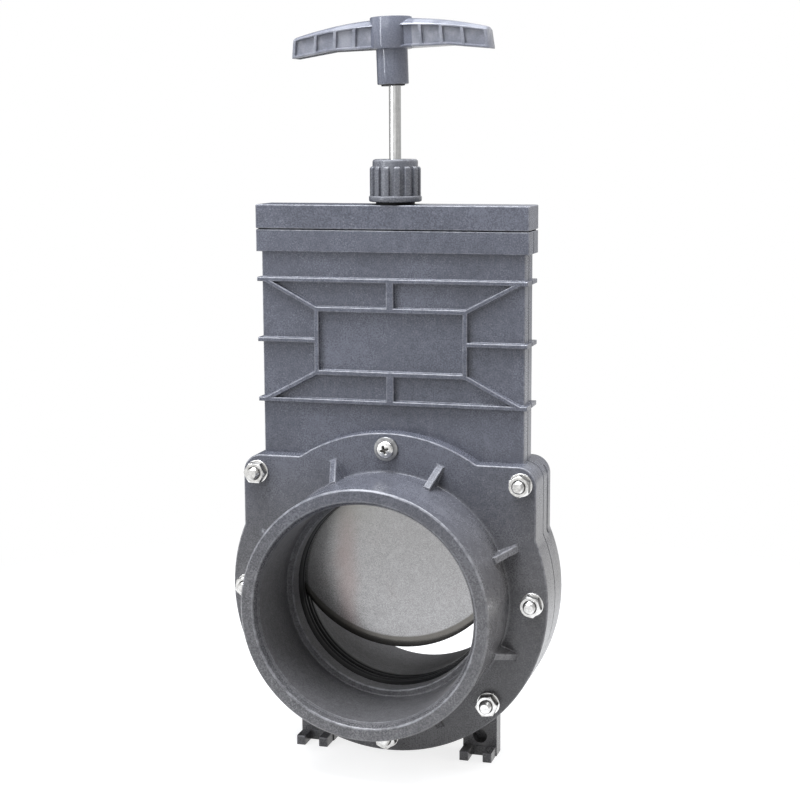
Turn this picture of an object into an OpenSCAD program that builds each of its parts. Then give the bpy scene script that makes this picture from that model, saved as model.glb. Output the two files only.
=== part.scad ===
// Slide valve for a 110 mm waste or pond pipe. Millimetres, +Z up, the pipe runs along Y.
// The gate is drawn 28 mm up from closed, as it was left in the picture.
// The origin is on the floor, midway between the two feet, under the gate.

/* [Pipe sockets] */
// Radius of the bore that takes the 110 mm pipe
bore_r = 55.1; // [54.9:0.1:55.4]
// Thickness of the wall of a socket
socket_t = 8.6; // [7.8:0.1:9.4]
// Distance from the gate to the mouth of a socket
mouth_y = 62.7; // [56:0.1:75]
// Distance from the face of a flange in to the shoulder that stops the pipe
stop_in = 1.2; // [0.2:0.1:3]
// Width of that shoulder
stop_w = 3.6; // [2.2:0.1:3.9]
// Depth of the lead-in chamfer at the mouth
lead_d = 4.5; // [2:0.5:6]
// Radial width of the lead-in chamfer
lead_w = 2.1; // [1:0.1:3]
// Thickness of a gusset
gusset_t = 3.8; // [2:0.1:4.5]
// Distance from the edge of a flange in to a gusset
gusset_in = 9.9; // [8:0.1:13]
// Length of a gusset along the socket
gusset_l = 13.8; // [6:0.1:20]

/* [Clamped rings] */
// Width of the round part of a flange, out from the socket
flange_w = 20.2; // [19:0.1:22]
// Thickness of a flange
flange_t = 9.8; // [9:0.1:12]
// Half of the thickness of the two housing halves
body_y = 8.9; // [8.7:0.1:9.6]
// Width of an ear, out from the bonnet
ear_w = 8.3; // [7:0.1:11]
// Height of the ears over the top of the socket
ear_up = 6; // [4:0.1:9]
// Radius of the outer corner of an ear
ear_round = 9.5; // [6:0.5:10]
// Width of the open joint beside the ears of the rear flange
ear_gap_w = 2.9; // [1.5:0.1:4]
// Depth of that joint
ear_gap_d = 3; // [1:0.5:4]
// Height over the pipe axis at which it starts
ear_gap_z = 30; // [24:0.5:40]

/* [Fasteners] */
// Radius of the bolts, washers and nuts are for M6
bolt_r = 3; // [2.5:0.1:3]
// Distance from the edge of a flange in to the circle of the bolts
bolt_in = 8.1; // [7.6:0.1:9.5]
// Sideways distance of an ear bolt from the side of its ear
ear_bolt_in = 7.7; // [7:0.1:8.5]
// Distance of an ear bolt below the top of its ear
ear_bolt_low = 8.9; // [8:0.1:10]
// Distance across the flats of the nuts and heads
hex_af = 10; // [9.8:0.1:10.2]
// Height of a nut
nut_h = 5; // [4.5:0.1:5.5]
// Height of a bolt head
head_h = 4; // [3.5:0.1:4.5]
// Radius of a washer
washer_r = 6; // [5.8:0.1:6.2]
// Thickness of a washer
washer_t = 1.2; // [0.8:0.1:1.6]
// Length of bolt that stands out of a nut
bolt_out = 3.4; // [1:0.1:6]
// Radius of the short top screws
screw_r = 2.45; // [2:0.05:2.6]
// Radius of the head of a top screw
screw_head_r = 4.6; // [4.3:0.1:5]

/* [Bonnet] */
// Width of the bonnet beyond the side of the gate
bonnet_w = 7.6; // [6:0.1:9]
// Room left between the bonnet's rim and the top of the raised gate
bonnet_room = 9.3; // [9.3:0.1:14]
// Height of the collar round the rim
collar_h = 11.3; // [8:0.1:14]
// Width of the collar and the cap beyond the side of the bonnet
collar_w = 2.3; // [1.5:0.1:3]
// Half depth of the collar
collar_y = 11.2; // [10.6:0.1:11.4]
// Half depth of the cap
cap_y = 11.5; // [11.2:0.1:12.5]
// Height of the cap
cap_h = 12.2; // [11:0.1:14]
// Thickness of the gasket under the cap
gasket_t = 0.5; // [0.4:0.1:1]
// Width of a raised rib
rib_w = 2.2; // [1.6:0.1:3]
// Distance of the face of the ribs from the gate
rib_y = 11.9; // [11.5:0.1:12.5]
// Distance a rib stands out beside the bonnet
rib_out = 1.9; // [1:0.1:2.2]
// Height of the upper rib over the pipe axis
rib_top_z = 160.1; // [156:0.1:163]
// Height of the lower rib over the pipe axis
rib_low_z = 97.8; // [94:0.1:102]
// Half width of the middle panel, to the middle of its frame
panel_x = 39.1; // [34:0.1:44]
// Height of the top of that frame over the pipe axis
panel_top_z = 145.2; // [140:0.1:150]
// Height of the bottom of that frame over the pipe axis
panel_low_z = 112.6; // [108:0.1:118]
// Width and depth of the groove along the joint of the halves
seam = 0.5; // [0.3:0.1:0.8]

/* [Gate] */
// Height the gate is drawn above its closed place
lift = 28; // [1:0.5:60]
// Height of the gate above its closed place when it is fully open
open_lift = 112; // [104:1:116]
// Half width of the gate and radius of its lower edge
gate_r = 61.5; // [60:0.1:61.8]
// Thickness of the gate
gate_t = 2; // [1.5:0.1:2.4]
// Width of the ground bevel in the middle of the lower edge
bevel_w = 4.2; // [0.5:0.1:5]
// Depth of that bevel
bevel_d = 1; // [0.2:0.1:1.2]
// Height of the middle of the bevel's arc over the middle of the edge's arc
bevel_up = 5.8; // [2:0.1:10]
// Gap between the gate and its guides
guide_gap = 0.3; // [0.2:0.05:0.5]
// Width of a seal, out from the waterway
seal_w = 5.5; // [5:0.1:6]
// Distance the lip of a seal stands into the waterway
lip_in = 0.9; // [0.5:0.1:1.5]
// Width of the guide beside the deep pocket in the bonnet
guide_w = 5.5; // [4.5:0.5:11]
// Half depth of the deep pocket in the bonnet
pocket_y = 5.4; // [5.3:0.1:5.5]
// Height of the straight sides of the gate above the round part
gate_neck = 2.8; // [2.5:0.1:4]
// Height of the block that holds the rod
block_h = 9.5; // [9.5:0.1:10]
// Half width of the block
block_x = 11; // [10:0.5:14]
// Half thickness of the block
block_y = 4.6; // [4.4:0.1:4.7]

/* [Rod and gland] */
// Radius of the rod
rod_r = 3; // [2.8:0.1:3.2]
// Radial clearance of a round part in its hole
fit = 0.05; // [0.03:0.01:0.09]
// Radius of the neck on the cap
neck_r = 9.9; // [9.8:0.1:10.2]
// Height of the rubber ring under the gland nut
ring_t = 1.4; // [1:0.1:2]
// Height of the gland nut
gland_h = 21.3; // [18:0.1:24]
// Height of the lobes on the gland nut
lobe_h = 15.8; // [12:0.1:16]
// Thickness of the roof of the gland nut
roof_t = 5.7; // [4:0.1:6]
// Radius of the bottom ring of the gland nut
nut_ring_r = 13.4; // [13.2:0.1:14.5]
// Radius over the lobes of the gland nut
nut_lobe_r = 12.9; // [12.6:0.1:13.1]
// Radius of the gland nut between the lobes
nut_core_r = 11.5; // [11.3:0.1:11.8]
// Number of lobes on the gland nut
lobes = 14; // [10:1:16]

/* [Handle] */
// Gap between the handle and the gland nut when the gate is shut
handle_gap = 9.1; // [4:0.1:20]
// Height of the boss below the wings
boss_h = 17.6; // [14:0.1:24]
// Radius of the boss
boss_r = 7.9; // [7.6:0.1:8.6]
// Height of the hub between the wings
hub_h = 15.4; // [15:0.1:18]
// Radius of the hub
hub_r = 10.5; // [10.2:0.1:11.5]
// Half of the length of the lower edge of the wings
handle_x = 52.2; // [48:0.1:58]
// Sideways distance at which that edge turns down
kink_x = 31.4; // [20:0.1:40]
// Drop of the edge from there to the tips
tip_drop = 2.7; // [0.5:0.1:4]
// Distance the tips lean in over the height of the handle
tip_in = 2.2; // [1:0.1:5]
// Height of the wings where they meet
wing_h = 14.6; // [12:0.1:14.8]
// Half of the thickness of a wing at its tip
wing_y = 5.3; // [4.75:0.05:6]
// Half of the thickness of a wing at the hub
wing_root_y = 7.6; // [6.5:0.1:8]
// Radius of the curve along the top of the wings
wing_arc_r = 210; // [190:1:260]
// Radius of the curve across the top of the wings
crown_r = 10.3; // [9.5:0.1:16]
// Half of the thickness of the web between the recesses
web_y = 3.2; // [2.5:0.1:4]
// Distance between the grip ribs
grip_pitch = 10.9; // [10:0.1:12]
// Sideways distance of the first grip rib
grip_x = 17.7; // [14:0.1:19]
// Width of a grip rib
grip_w = 1.5; // [1:0.1:2.5]
// Width of the frame round the recesses
frame_w = 1; // [0.6:0.1:1.5]
// Sideways lean of the handle on its rod, in degrees
lean = 1.9; // [0:0.1:2]
// Turn of the handle on its rod, in degrees
turn = 3.5; // [0:0.5:20]
// Sideways play of the boss on the rod
boss_shift = 0.9; // [0:0.1:1]
// Distance across the flats of the lock nut
lock_af = 11; // [10.8:0.1:11.2]

/* [Feet] */
// Height of the pipe axis over the floor
axis_z = 88.8; // [88.5:0.1:95]
// Sideways distance of the middle of a foot
foot_x = 44.7; // [42:0.1:46]
// Width of a foot
foot_w = 18.1; // [17:0.1:19]
// Distance the toes stand in from the sides of their foot
toe_in = 0.5; // [0.2:0.1:1]
// Width of the slot between the toes
slot_w = 7.6; // [6.5:0.1:8.5]
// Distance the toes stand out in front of the gate
toe_y = 10.6; // [9:0.1:14]
// Height of the toes
toe_h = 5.1; // [4:0.1:5.1]
// Radius of the hole in a foot
foot_hole_r = 3.75; // [3:0.05:4]
// Depth of that hole
foot_hole_d = 7; // [4:0.5:8]
// Height of that hole over the floor
foot_hole_z = 10.4; // [10:0.1:10.8]

/* [Hidden] */
$fn = 96;
cut = 1;
socket_r = bore_r + socket_t;
flange_r = socket_r + flange_w;
flange_y = body_y + flange_t;
stop_y = flange_y - stop_in;
way_r = bore_r - stop_w;
gusset_r = flange_r - gusset_in;
gusset_y = flange_y + gusset_l;
pitch_r = flange_r - bolt_in;
window_r = way_r + seal_w;
lip_r = way_r - lip_in;
bevel_r = gate_r + bevel_up;
slot_y = gate_t / 2 + guide_gap;
slot_r = gate_r + 0.7;
bonnet_x = gate_r + bonnet_w;
ear_x = bonnet_x + ear_w;
ear_z = socket_r + ear_up;
ear_bolt_x = ear_x - ear_bolt_in;
ear_bolt_z = ear_z - ear_bolt_low;
hole_r = bolt_r + 0.3;
hex_r = hex_af / 2 / cos(30);
seal_r = window_r - 0.3;
gate_top = gate_r + gate_neck;
block_z = gate_top - 6 + lift;
block_top = block_z + block_h;
gate_peak = gate_top + lift;
pocket_z = gate_top - 6.5;
pocket_x = gate_r - guide_w;
bonnet_z = gate_top + open_lift + bonnet_room;
collar_z = bonnet_z - collar_h;
collar_x = bonnet_x + collar_w;
rib_x = bonnet_x + rib_out;
cap_z = bonnet_z + gasket_t;
cap_top = cap_z + cap_h;
spigot_h = 5;
box_z = cap_top + 1.7;
box_r = neck_r - 3;
packing_h = 3.5;
nut_z = cap_top + ring_t;
nut_top = nut_z + gland_h;
nut_roof = nut_top - roof_t;
neck_top = nut_roof - 2.3;
groove_r = neck_r - 1;
handle_z = nut_top + handle_gap + lift;
hub_top = boss_h + hub_h;
rod_low = block_z + 1.3;
rod_high = handle_z + hub_top - 4;
rod_space = bonnet_z;
lock_r = lock_af / 2 / cos(30);
lock_out = 0.8;
bolt_places = [
  [pitch_r, 0], [-pitch_r, 0], [0, -pitch_r],
  [pitch_r * cos(45), -pitch_r * sin(45)], [-pitch_r * cos(45), -pitch_r * sin(45)],
  [ear_bolt_x, ear_bolt_z], [-ear_bolt_x, ear_bolt_z]
];
nut_turns = [14, 40, 22, 52, 8, 33, 2];
crown_turns = [for (i = [-4:4]) i * asin((wing_root_y + 0.4) / crown_r) / 4];
pvc = [0.40, 0.41, 0.45];
dark_pvc = [0.33, 0.34, 0.37];
steel = [0.78, 0.78, 0.77];
zinc = [0.86, 0.86, 0.84];
black = [0.06, 0.06, 0.065];

// Name of the sub-part to draw, or all

// Puts a shape drawn about the pipe axis at its height over the floor.
module on_axis() translate([0, 0, axis_z]) children();

// Makes a flat (X, Z) outline into a slab that lies between two Y planes.
module slab(y0, y1) translate([0, y1, 0]) rotate([90, 0, 0]) linear_extrude(y1 - y0) children();

// A cylinder along Y at (x, z).
module ycyl(r, y0, y1, x = 0, z = 0, sides = 96)
  translate([x, y1, z]) rotate([90, 0, 0]) cylinder(r = r, h = y1 - y0, $fn = sides);

// Turns a (radius, distance in front of the gate) profile about the pipe axis.
module yturn() rotate([90, 0, 0]) rotate_extrude($fn = 192) children();

// A block given by its lowest and highest corners.
module span(a, b) translate(a) cube(b - a);

// Outline of a flange: the circle and the two ears, all drawn in by d.
module flange_outline(d = 0) {
  circle(flange_r - d, $fn = 192);
  translate([-(ear_x - d), 0]) square([2 * (ear_x - d), ear_z - ear_round]);
  translate([-(ear_x - ear_round), 0]) square([2 * (ear_x - ear_round), ear_z - d]);
  for (s = [-1, 1]) translate([s * (ear_x - ear_round), ear_z - ear_round]) circle(ear_round - d);
}

// Outline of a housing half: the flange outline and the bonnet.
module body_outline(d = 0) {
  flange_outline(d);
  translate([-(bonnet_x - d), 0]) square([2 * (bonnet_x - d), bonnet_z]);
}

// Outline of the space the gate slides in.
module slot_outline() {
  circle(slot_r, $fn = 192);
  translate([-slot_r, 0]) square([2 * slot_r, bonnet_z + cut]);
}

// The seven through holes of a ring.
module bolt_holes(y0, y1) {
  for (p = bolt_places) ycyl(hole_r, y0, y1, p[0], p[1]);
}

// A straight bar between two points of the bonnet face.
module bar(a, b, w) {
  u = (b - a) / norm(b - a);
  n = [-u[1], u[0]] * w / 2;
  polygon([a - n, b - n, b + n, a + n]);
}

// The raised ribs of one bonnet face.
module ribs() {
  frame = rib_w + 0.3;
  middle = (rib_top_z + rib_low_z) / 2;
  for (z = [rib_top_z, rib_low_z]) span([-rib_x, -rib_y, z - rib_w / 2], [rib_x, 0, z + rib_w / 2]);
  for (s = [-1, 1]) {
    span([min(s * panel_x, s * rib_x), -rib_y, middle - rib_w / 2],
      [max(s * panel_x, s * rib_x), 0, middle + rib_w / 2]);
  }
  slab(-rib_y, -body_y + cut) {
    for (z = [panel_top_z, panel_low_z]) bar([-panel_x - rib_w / 2, z], [panel_x + rib_w / 2, z], frame);
    for (s = [-1, 1]) {
      bar([s * panel_x, panel_low_z], [s * panel_x, panel_top_z], frame);
      bar([s * panel_x, panel_top_z], [s * (bonnet_x - 2), rib_top_z], rib_w);
      bar([s * panel_x, panel_low_z], [s * (bonnet_x - 2), rib_low_z], rib_w);
    }
    bar([0, panel_top_z], [0, rib_top_z], 4);
    bar([0, rib_low_z], [0, panel_low_z], 4);
  }
}

// The housing half in front of the gate.
module body_half() {
  difference() {
    union() {
      slab(-body_y, 0) body_outline();
      span([-collar_x, -collar_y, collar_z], [collar_x, 0, bonnet_z]);
      ribs();
    }
    ycyl(window_r, -body_y - cut, cut, sides = 192);
    slab(-slot_y, cut) slot_outline();
    span([-pocket_x, -pocket_y, pocket_z], [pocket_x, cut, bonnet_z + cut]);
    bolt_holes(-body_y - cut, cut);
    ycyl(screw_r + fit, -body_y - cut, -body_y + 3, 0, pitch_r);
    slab(-seam, cut) difference() {
      translate([-2 * flange_r, -2 * flange_r]) square([4 * flange_r, 2 * flange_r + bonnet_z + cut]);
      body_outline(seam);
      translate([-(collar_x - seam), collar_z]) square([2 * (collar_x - seam), bonnet_z]);
    }
  }
}

// One foot, under the rear housing half.
module foot() {
  x0 = foot_x - foot_w / 2;
  x1 = foot_x + foot_w / 2;
  difference() {
    union() {
      span([x0, 0, -axis_z], [x1, body_y, -flange_r * 0.73]);
      span([x0 + toe_in, -toe_y, -axis_z], [x1 - toe_in, cut, toe_h - axis_z]);
    }
    span([foot_x - slot_w / 2, -toe_y - cut, -axis_z - cut],
      [foot_x + slot_w / 2, -0.5, toe_h - axis_z + cut]);
    ycyl(foot_hole_r, -toe_y, foot_hole_d, foot_x, foot_hole_z - axis_z);
    ycyl(flange_r - 5, -toe_y, body_y + cut, sides = 192);
  }
}

// A flange with its pipe socket, in front of the gate.
module socket_flange() {
  difference() {
    union() {
      slab(-flange_y, -body_y) flange_outline();
      yturn() polygon([[0, body_y], [socket_r + 0.6, body_y], [socket_r + 0.6, flange_y],
        [socket_r + 0.2, flange_y + 0.2], [socket_r, flange_y + 0.6], [socket_r, mouth_y - 1],
        [socket_r - 0.3, mouth_y - 0.3], [socket_r - 1, mouth_y], [0, mouth_y]]);
      for (i = [0:7]) rotate([0, -22.5 - 45 * i, 0])
        translate([0, 0, -gusset_t / 2]) linear_extrude(gusset_t)
          polygon([[socket_r - 1, 0.5 - flange_y], [gusset_r, 0.5 - flange_y],
            [gusset_r, -flange_y - 0.8], [socket_r + 1.2, -gusset_y], [socket_r - 1, -gusset_y]]);
    }
    yturn() polygon([[0, body_y - cut], [way_r, body_y - cut], [way_r, stop_y], [bore_r, stop_y],
      [bore_r, mouth_y - lead_d], [bore_r + lead_w, mouth_y], [bore_r + lead_w, mouth_y + cut],
      [0, mouth_y + cut]]);
    bolt_holes(-flange_y - cut, -body_y + cut);
    ycyl(screw_r + 0.3, -flange_y - cut, -body_y + cut, 0, pitch_r);
  }
}

// The gate's plate before its holes: round below, straight above, with a bevel that fades out sideways.
module gate_blank() intersection() {
  slab(-gate_t / 2, gate_t / 2) {
    translate([0, lift]) circle(gate_r, $fn = 192);
    translate([-gate_r, lift]) square([2 * gate_r, gate_top]);
  }
  union() {
    translate([0, 0, lift + bevel_up]) yturn() polygon([[0, -gate_t], [bevel_r, -gate_t],
      [bevel_r, gate_t / 2 - bevel_d], [bevel_r - bevel_w, gate_t / 2], [bevel_r - bevel_w, gate_t],
      [0, gate_t]]);
    span([-gate_r - cut, -gate_t, lift], [gate_r + cut, gate_t, gate_peak + cut]);
  }
}

// A seal in front of the gate: a ring in the window with a lip on each side of a groove.
module gate_seal() {
  near = gate_t / 2 + 0.05;
  yturn() polygon([[lip_r + 0.8, body_y], [seal_r, body_y], [seal_r, near + 1.2],
    [seal_r - 1, near], [lip_r + 0.6, near], [lip_r, near + 0.5], [lip_r, near + 1.7],
    [lip_r + 0.9, near + 2.3], [lip_r + 0.9, near + 3.3], [lip_r + 0.1, near + 3.9],
    [lip_r + 0.1, near + 5.2]]);
}

// A top screw in front of the gate, with a cross recess.
module top_screw() {
  seat = flange_y + washer_t;
  difference() {
    union() {
      ycyl(screw_r, -seat - 1, -body_y + 2.8, 0, pitch_r, 48);
      translate([0, 0, pitch_r]) rotate([90, 0, 0]) rotate_extrude($fn = 48)
        polygon([[0, seat], [screw_head_r, seat], [screw_head_r, seat + 1.3],
          [screw_head_r - 0.5, seat + 2.2], [screw_head_r - 1.6, seat + 2.9],
          [screw_head_r - 3, seat + 3.2], [0, seat + 3.3]]);
    }
    for (a = [20, 110]) translate([0, 0, pitch_r]) rotate([0, a, 0])
      span([-2.3, -seat - 4, -0.55], [2.3, -seat - 1.4, 0.55]);
  }
}

// Puts a shape drawn about the bottom of the handle's boss on the rod.
module on_handle() translate([-boss_shift, 0, handle_z]) rotate([0, -lean, -turn]) children();

// Front outline of the two wings, open above the curve of their top.
module wing_front() polygon([[-handle_x, boss_h - tip_drop], [-kink_x, boss_h], [kink_x, boss_h],
  [handle_x, boss_h - tip_drop], [handle_x - tip_in, hub_top], [tip_in - handle_x, hub_top]]);

// Outline of the wings from above, thickest at the hub.
module wing_plan() polygon([[-handle_x, -wing_y], [-hub_r, -wing_root_y], [hub_r, -wing_root_y],
  [handle_x, -wing_y], [handle_x, wing_y], [hub_r, wing_root_y], [-hub_r, wing_root_y],
  [-handle_x, wing_y]]);

// The two wings in one, with a top that is curved both ways.
module wings() intersection() {
  slab(-wing_root_y - cut, wing_root_y + cut) wing_front();
  linear_extrude(hub_top + cut) wing_plan();
  translate([0, 0, boss_h + wing_h - wing_arc_r]) yturn() polygon(concat(
    [for (a = crown_turns) [wing_arc_r - crown_r + crown_r * cos(a), crown_r * sin(a)]],
    [[wing_arc_r - 2 * wing_h, crown_r * sin(crown_turns[8])],
      [wing_arc_r - 2 * wing_h, crown_r * sin(crown_turns[0])]]));
}

// The outlines of the four recesses in one side of a wing, with the grip ribs left between them.
module recesses(side) intersection() {
  translate([-side * 1.6 * frame_w, frame_w]) wing_front();
  translate([0, boss_h + wing_h - 3.7 - wing_arc_r * 1.3]) circle(wing_arc_r * 1.3, $fn = 360);
  for (i = [0:3]) {
    x0 = i == 0 ? 0 : grip_x + (i - 1) * grip_pitch + grip_w / 2;
    x1 = i == 3 ? handle_x : grip_x + i * grip_pitch - grip_w / 2;
    translate([min(side * x0, side * x1), 0]) square([x1 - x0, hub_top]);
  }
}

module front_body_half() color(pvc) on_axis() body_half();

module rear_body_half() color(pvc) on_axis() {
  mirror([0, 1, 0]) body_half();
  for (s = [0, 1]) mirror([s, 0, 0]) foot();
}

module top_cap() color(pvc) on_axis() difference() {
  union() {
    span([-collar_x, -cap_y, cap_z], [collar_x, cap_y, cap_top]);
    span([-pocket_x + 0.2, -pocket_y + 0.2, bonnet_z - spigot_h],
      [pocket_x - 0.2, pocket_y - 0.2, cap_z + cut]);
    translate([0, 0, cap_z]) cylinder(r = neck_r, h = neck_top - cap_z);
  }
  translate([0, 0, bonnet_z - spigot_h - cut]) cylinder(r = rod_r + 0.3, h = rod_space);
  translate([0, 0, box_z]) cylinder(r = box_r, h = rod_space);
  translate([0, 0, cap_top]) difference() {
    cylinder(r = neck_r + cut, h = ring_t);
    translate([0, 0, -cut]) cylinder(r = groove_r, h = ring_t + 2 * cut);
  }
}

module cap_gasket() color(black) on_axis() difference() {
  span([-collar_x + 1, -collar_y + 1, bonnet_z], [collar_x - 1, collar_y - 1, cap_z]);
  span([-pocket_x, -pocket_y, bonnet_z - cut], [pocket_x, pocket_y, cap_z + cut]);
}

module front_socket_flange() color(pvc) on_axis() socket_flange();

module rear_socket_flange() color(pvc) on_axis() difference() {
  mirror([0, 1, 0]) socket_flange();
  for (s = [-1, 1]) span([min(s * (ear_x - ear_gap_d), s * (ear_x + 9)), body_y - cut, ear_gap_z],
    [max(s * (ear_x - ear_gap_d), s * (ear_x + 9)), body_y + ear_gap_w, ear_z - 4]);
}

module front_gate_seal() color(black) on_axis() gate_seal();

module rear_gate_seal() color(black) on_axis() mirror([0, 1, 0]) gate_seal();

module gate_plate() color(steel) on_axis() difference() {
  gate_blank();
  span([-rod_r - 0.3, -gate_t, rod_low - 0.4], [rod_r + 0.3, gate_t, gate_peak + cut]);
  for (s = [-1, 1]) ycyl(1.5 + fit, -9, 9, s * 7, block_z + 3, 48);
}

module rod_block() color(steel) on_axis() difference() {
  span([-block_x, -block_y, block_z], [block_x, block_y, block_top]);
  span([-block_x - cut, -gate_t / 2 - fit, block_z - cut],
    [block_x + cut, gate_t / 2 + fit, gate_peak + 0.05]);
  translate([0, 0, rod_low - 0.2]) cylinder(r = rod_r + fit, h = rod_space);
  for (s = [-1, 1]) ycyl(1.5 + fit, -9, 9, s * 7, block_z + 3, 48);
  ycyl(1.1 + fit, -9, 9, 0, block_top - 1.8, 48);
}

module block_rivets() color(zinc) on_axis() for (s = [-1, 1]) {
  ycyl(1.5, -block_y - 0.2, block_y + 0.2, s * 7, block_z + 3, 48);
  for (e = [-1, 1])
    ycyl(2.4, e * (block_y + 0.2) - 0.2, e * (block_y + 0.2) + 0.2, s * 7, block_z + 3, 48);
}

module lift_rod() color(steel) on_axis() difference() {
  translate([0, 0, rod_low]) cylinder(r = rod_r, h = rod_high - rod_low);
  ycyl(1.1 + fit, -9, 9, 0, block_top - 1.8, 48);
}

module rod_pin() color(zinc) on_axis() ycyl(1.1, -block_y - 0.2, block_y + 0.2, 0, block_top - 1.8, 48);

module handle() color(dark_pvc) on_axis() difference() {
  on_handle() difference() {
    union() {
      cylinder(r = boss_r, h = boss_h + cut);
      translate([0, 0, boss_h - 0.3]) cylinder(r = hub_r, h = hub_h + 0.3);
      difference() {
        wings();
        for (side = [-1, 1], face = [-1, 1])
          slab(min(face * web_y, face * 9), max(face * web_y, face * 9)) recesses(side);
      }
    }
    translate([0, 0, -cut]) cylinder(r = lock_r + 0.2, h = nut_h - lock_out + cut + 0.05);
  }
  translate([0, 0, handle_z - 3]) cylinder(r = rod_r + fit, h = rod_high - handle_z + 3.3);
}

module handle_lock_nut() color(black) on_axis() difference() {
  on_handle() translate([0, 0, -lock_out]) cylinder(r = lock_r, h = nut_h, $fn = 6);
  translate([0, 0, handle_z - 3]) cylinder(r = rod_r + fit, h = nut_h + 6);
}

module gland_nut() color(dark_pvc) on_axis() difference() {
  union() {
    translate([0, 0, nut_z]) rotate_extrude() polygon([[0, 0], [nut_ring_r - 1, 0], [nut_ring_r, 0.9],
      [nut_ring_r, 2.5], [nut_ring_r - 0.5, 3], [nut_core_r, 3.2], [nut_core_r, gland_h - 1.3],
      [nut_core_r - 0.4, gland_h - 0.4], [nut_core_r - 1.4, gland_h], [0, gland_h]]);
    intersection() {
      translate([0, 0, nut_z + 2]) rotate_extrude() polygon([[0, 0], [nut_lobe_r, 0],
        [nut_lobe_r, lobe_h - 1.2], [nut_lobe_r - 0.6, lobe_h - 0.4], [nut_core_r - 0.5, lobe_h],
        [0, lobe_h]]);
      for (i = [0:lobes - 1]) rotate([0, 0, 270 + (i + 0.5) * 360 / lobes])
        span([8, -2.2, nut_z], [nut_lobe_r + 1, 2.2, nut_top]);
    }
  }
  translate([0, 0, nut_z - cut]) cylinder(r = neck_r + 0.1, h = nut_roof - nut_z + cut);
  translate([0, 0, nut_z]) cylinder(r = rod_r + 0.5, h = gland_h + cut);
}

module gland_follower() color(black) on_axis() difference() {
  low = box_z + 2 * packing_h + 0.05;
  union() {
    translate([0, 0, low]) cylinder(r = box_r - 0.1, h = nut_roof - low - 0.05);
    translate([0, 0, neck_top + 0.4]) cylinder(r = neck_r - 0.5, h = nut_roof - neck_top - 0.45);
  }
  translate([0, 0, box_z]) cylinder(r = rod_r + 0.1, h = gland_h + roof_t);
}

module gland_packing() color(black) on_axis()
  for (i = [0, 1]) translate([0, 0, box_z + i * packing_h]) difference() {
    cylinder(r = box_r - fit, h = packing_h - 0.05);
    translate([0, 0, -cut]) cylinder(r = rod_r + fit, h = packing_h + 2);
  }

module neck_ring() color(black) on_axis() translate([0, 0, cap_top]) difference() {
  cylinder(r = neck_r, h = ring_t - fit);
  translate([0, 0, -cut]) cylinder(r = groove_r + fit, h = ring_t + 2 * cut);
}

module flange_bolts() color(zinc) on_axis() for (i = [0:len(bolt_places) - 1]) {
  p = bolt_places[i];
  ycyl(bolt_r, -flange_y - washer_t - nut_h - bolt_out, flange_y + washer_t + cut, p[0], p[1], 48);
  translate([p[0], flange_y + washer_t + head_h, p[1]]) rotate([0, 2 * nut_turns[i], 0])
    rotate([90, 0, 0]) cylinder(r = hex_r, h = head_h, $fn = 6);
}

module flange_nuts() color(zinc) on_axis() for (i = [0:len(bolt_places) - 1]) {
  p = bolt_places[i];
  difference() {
    translate([p[0], 0, p[1]]) rotate([0, nut_turns[i], 0]) translate([0, -flange_y - washer_t, 0])
      rotate([90, 0, 0]) cylinder(r = hex_r, h = nut_h, $fn = 6);
    ycyl(bolt_r + fit, -flange_y - washer_t - nut_h - cut, 0, p[0], p[1], 48);
  }
}

module washers() for (p = bolt_places) difference() {
  ycyl(washer_r, -flange_y - washer_t, -flange_y, p[0], p[1], 64);
  ycyl(bolt_r + 0.2, -flange_y - washer_t - cut, 0, p[0], p[1], 48);
}

module front_washers() color(zinc) on_axis() washers();

module rear_washers() color(zinc) on_axis() mirror([0, 1, 0]) washers();

module front_top_screw() color(zinc) on_axis() top_screw();

module rear_top_screw() color(zinc) on_axis() mirror([0, 1, 0]) top_screw();

module top_washer() difference() {
  ycyl(washer_r - 0.4, -flange_y - washer_t, -flange_y, 0, pitch_r, 64);
  ycyl(screw_r + 0.2, -flange_y - washer_t - cut, 0, 0, pitch_r, 48);
}

module front_top_washer() color(zinc) on_axis() top_washer();

module rear_top_washer() color(zinc) on_axis() mirror([0, 1, 0]) top_washer();

front_body_half();
rear_body_half();
top_cap();
cap_gasket();
front_socket_flange();
rear_socket_flange();
front_gate_seal();
rear_gate_seal();
gate_plate();
rod_block();
block_rivets();
lift_rod();
rod_pin();
handle();
handle_lock_nut();
gland_nut();
gland_follower();
gland_packing();
neck_ring();
flange_bolts();
flange_nuts();
front_washers();
rear_washers();
front_top_screw();
rear_top_screw();
front_top_washer();
rear_top_washer();
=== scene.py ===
"""Looks of a slide valve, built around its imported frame: moulded PVC, steel gate, fasteners, studio.

Lengths are in metres in the frame of the part: +Z is up, the pipe runs along Y, the origin is on the
floor under the gate.
"""

import logging
import math
from dataclasses import dataclass, field
from enum import Enum
from typing import Any, Callable, Dict, List, Optional, Sequence, Tuple, Union

import bmesh
import bpy
from mathutils import Matrix, Vector


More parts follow.
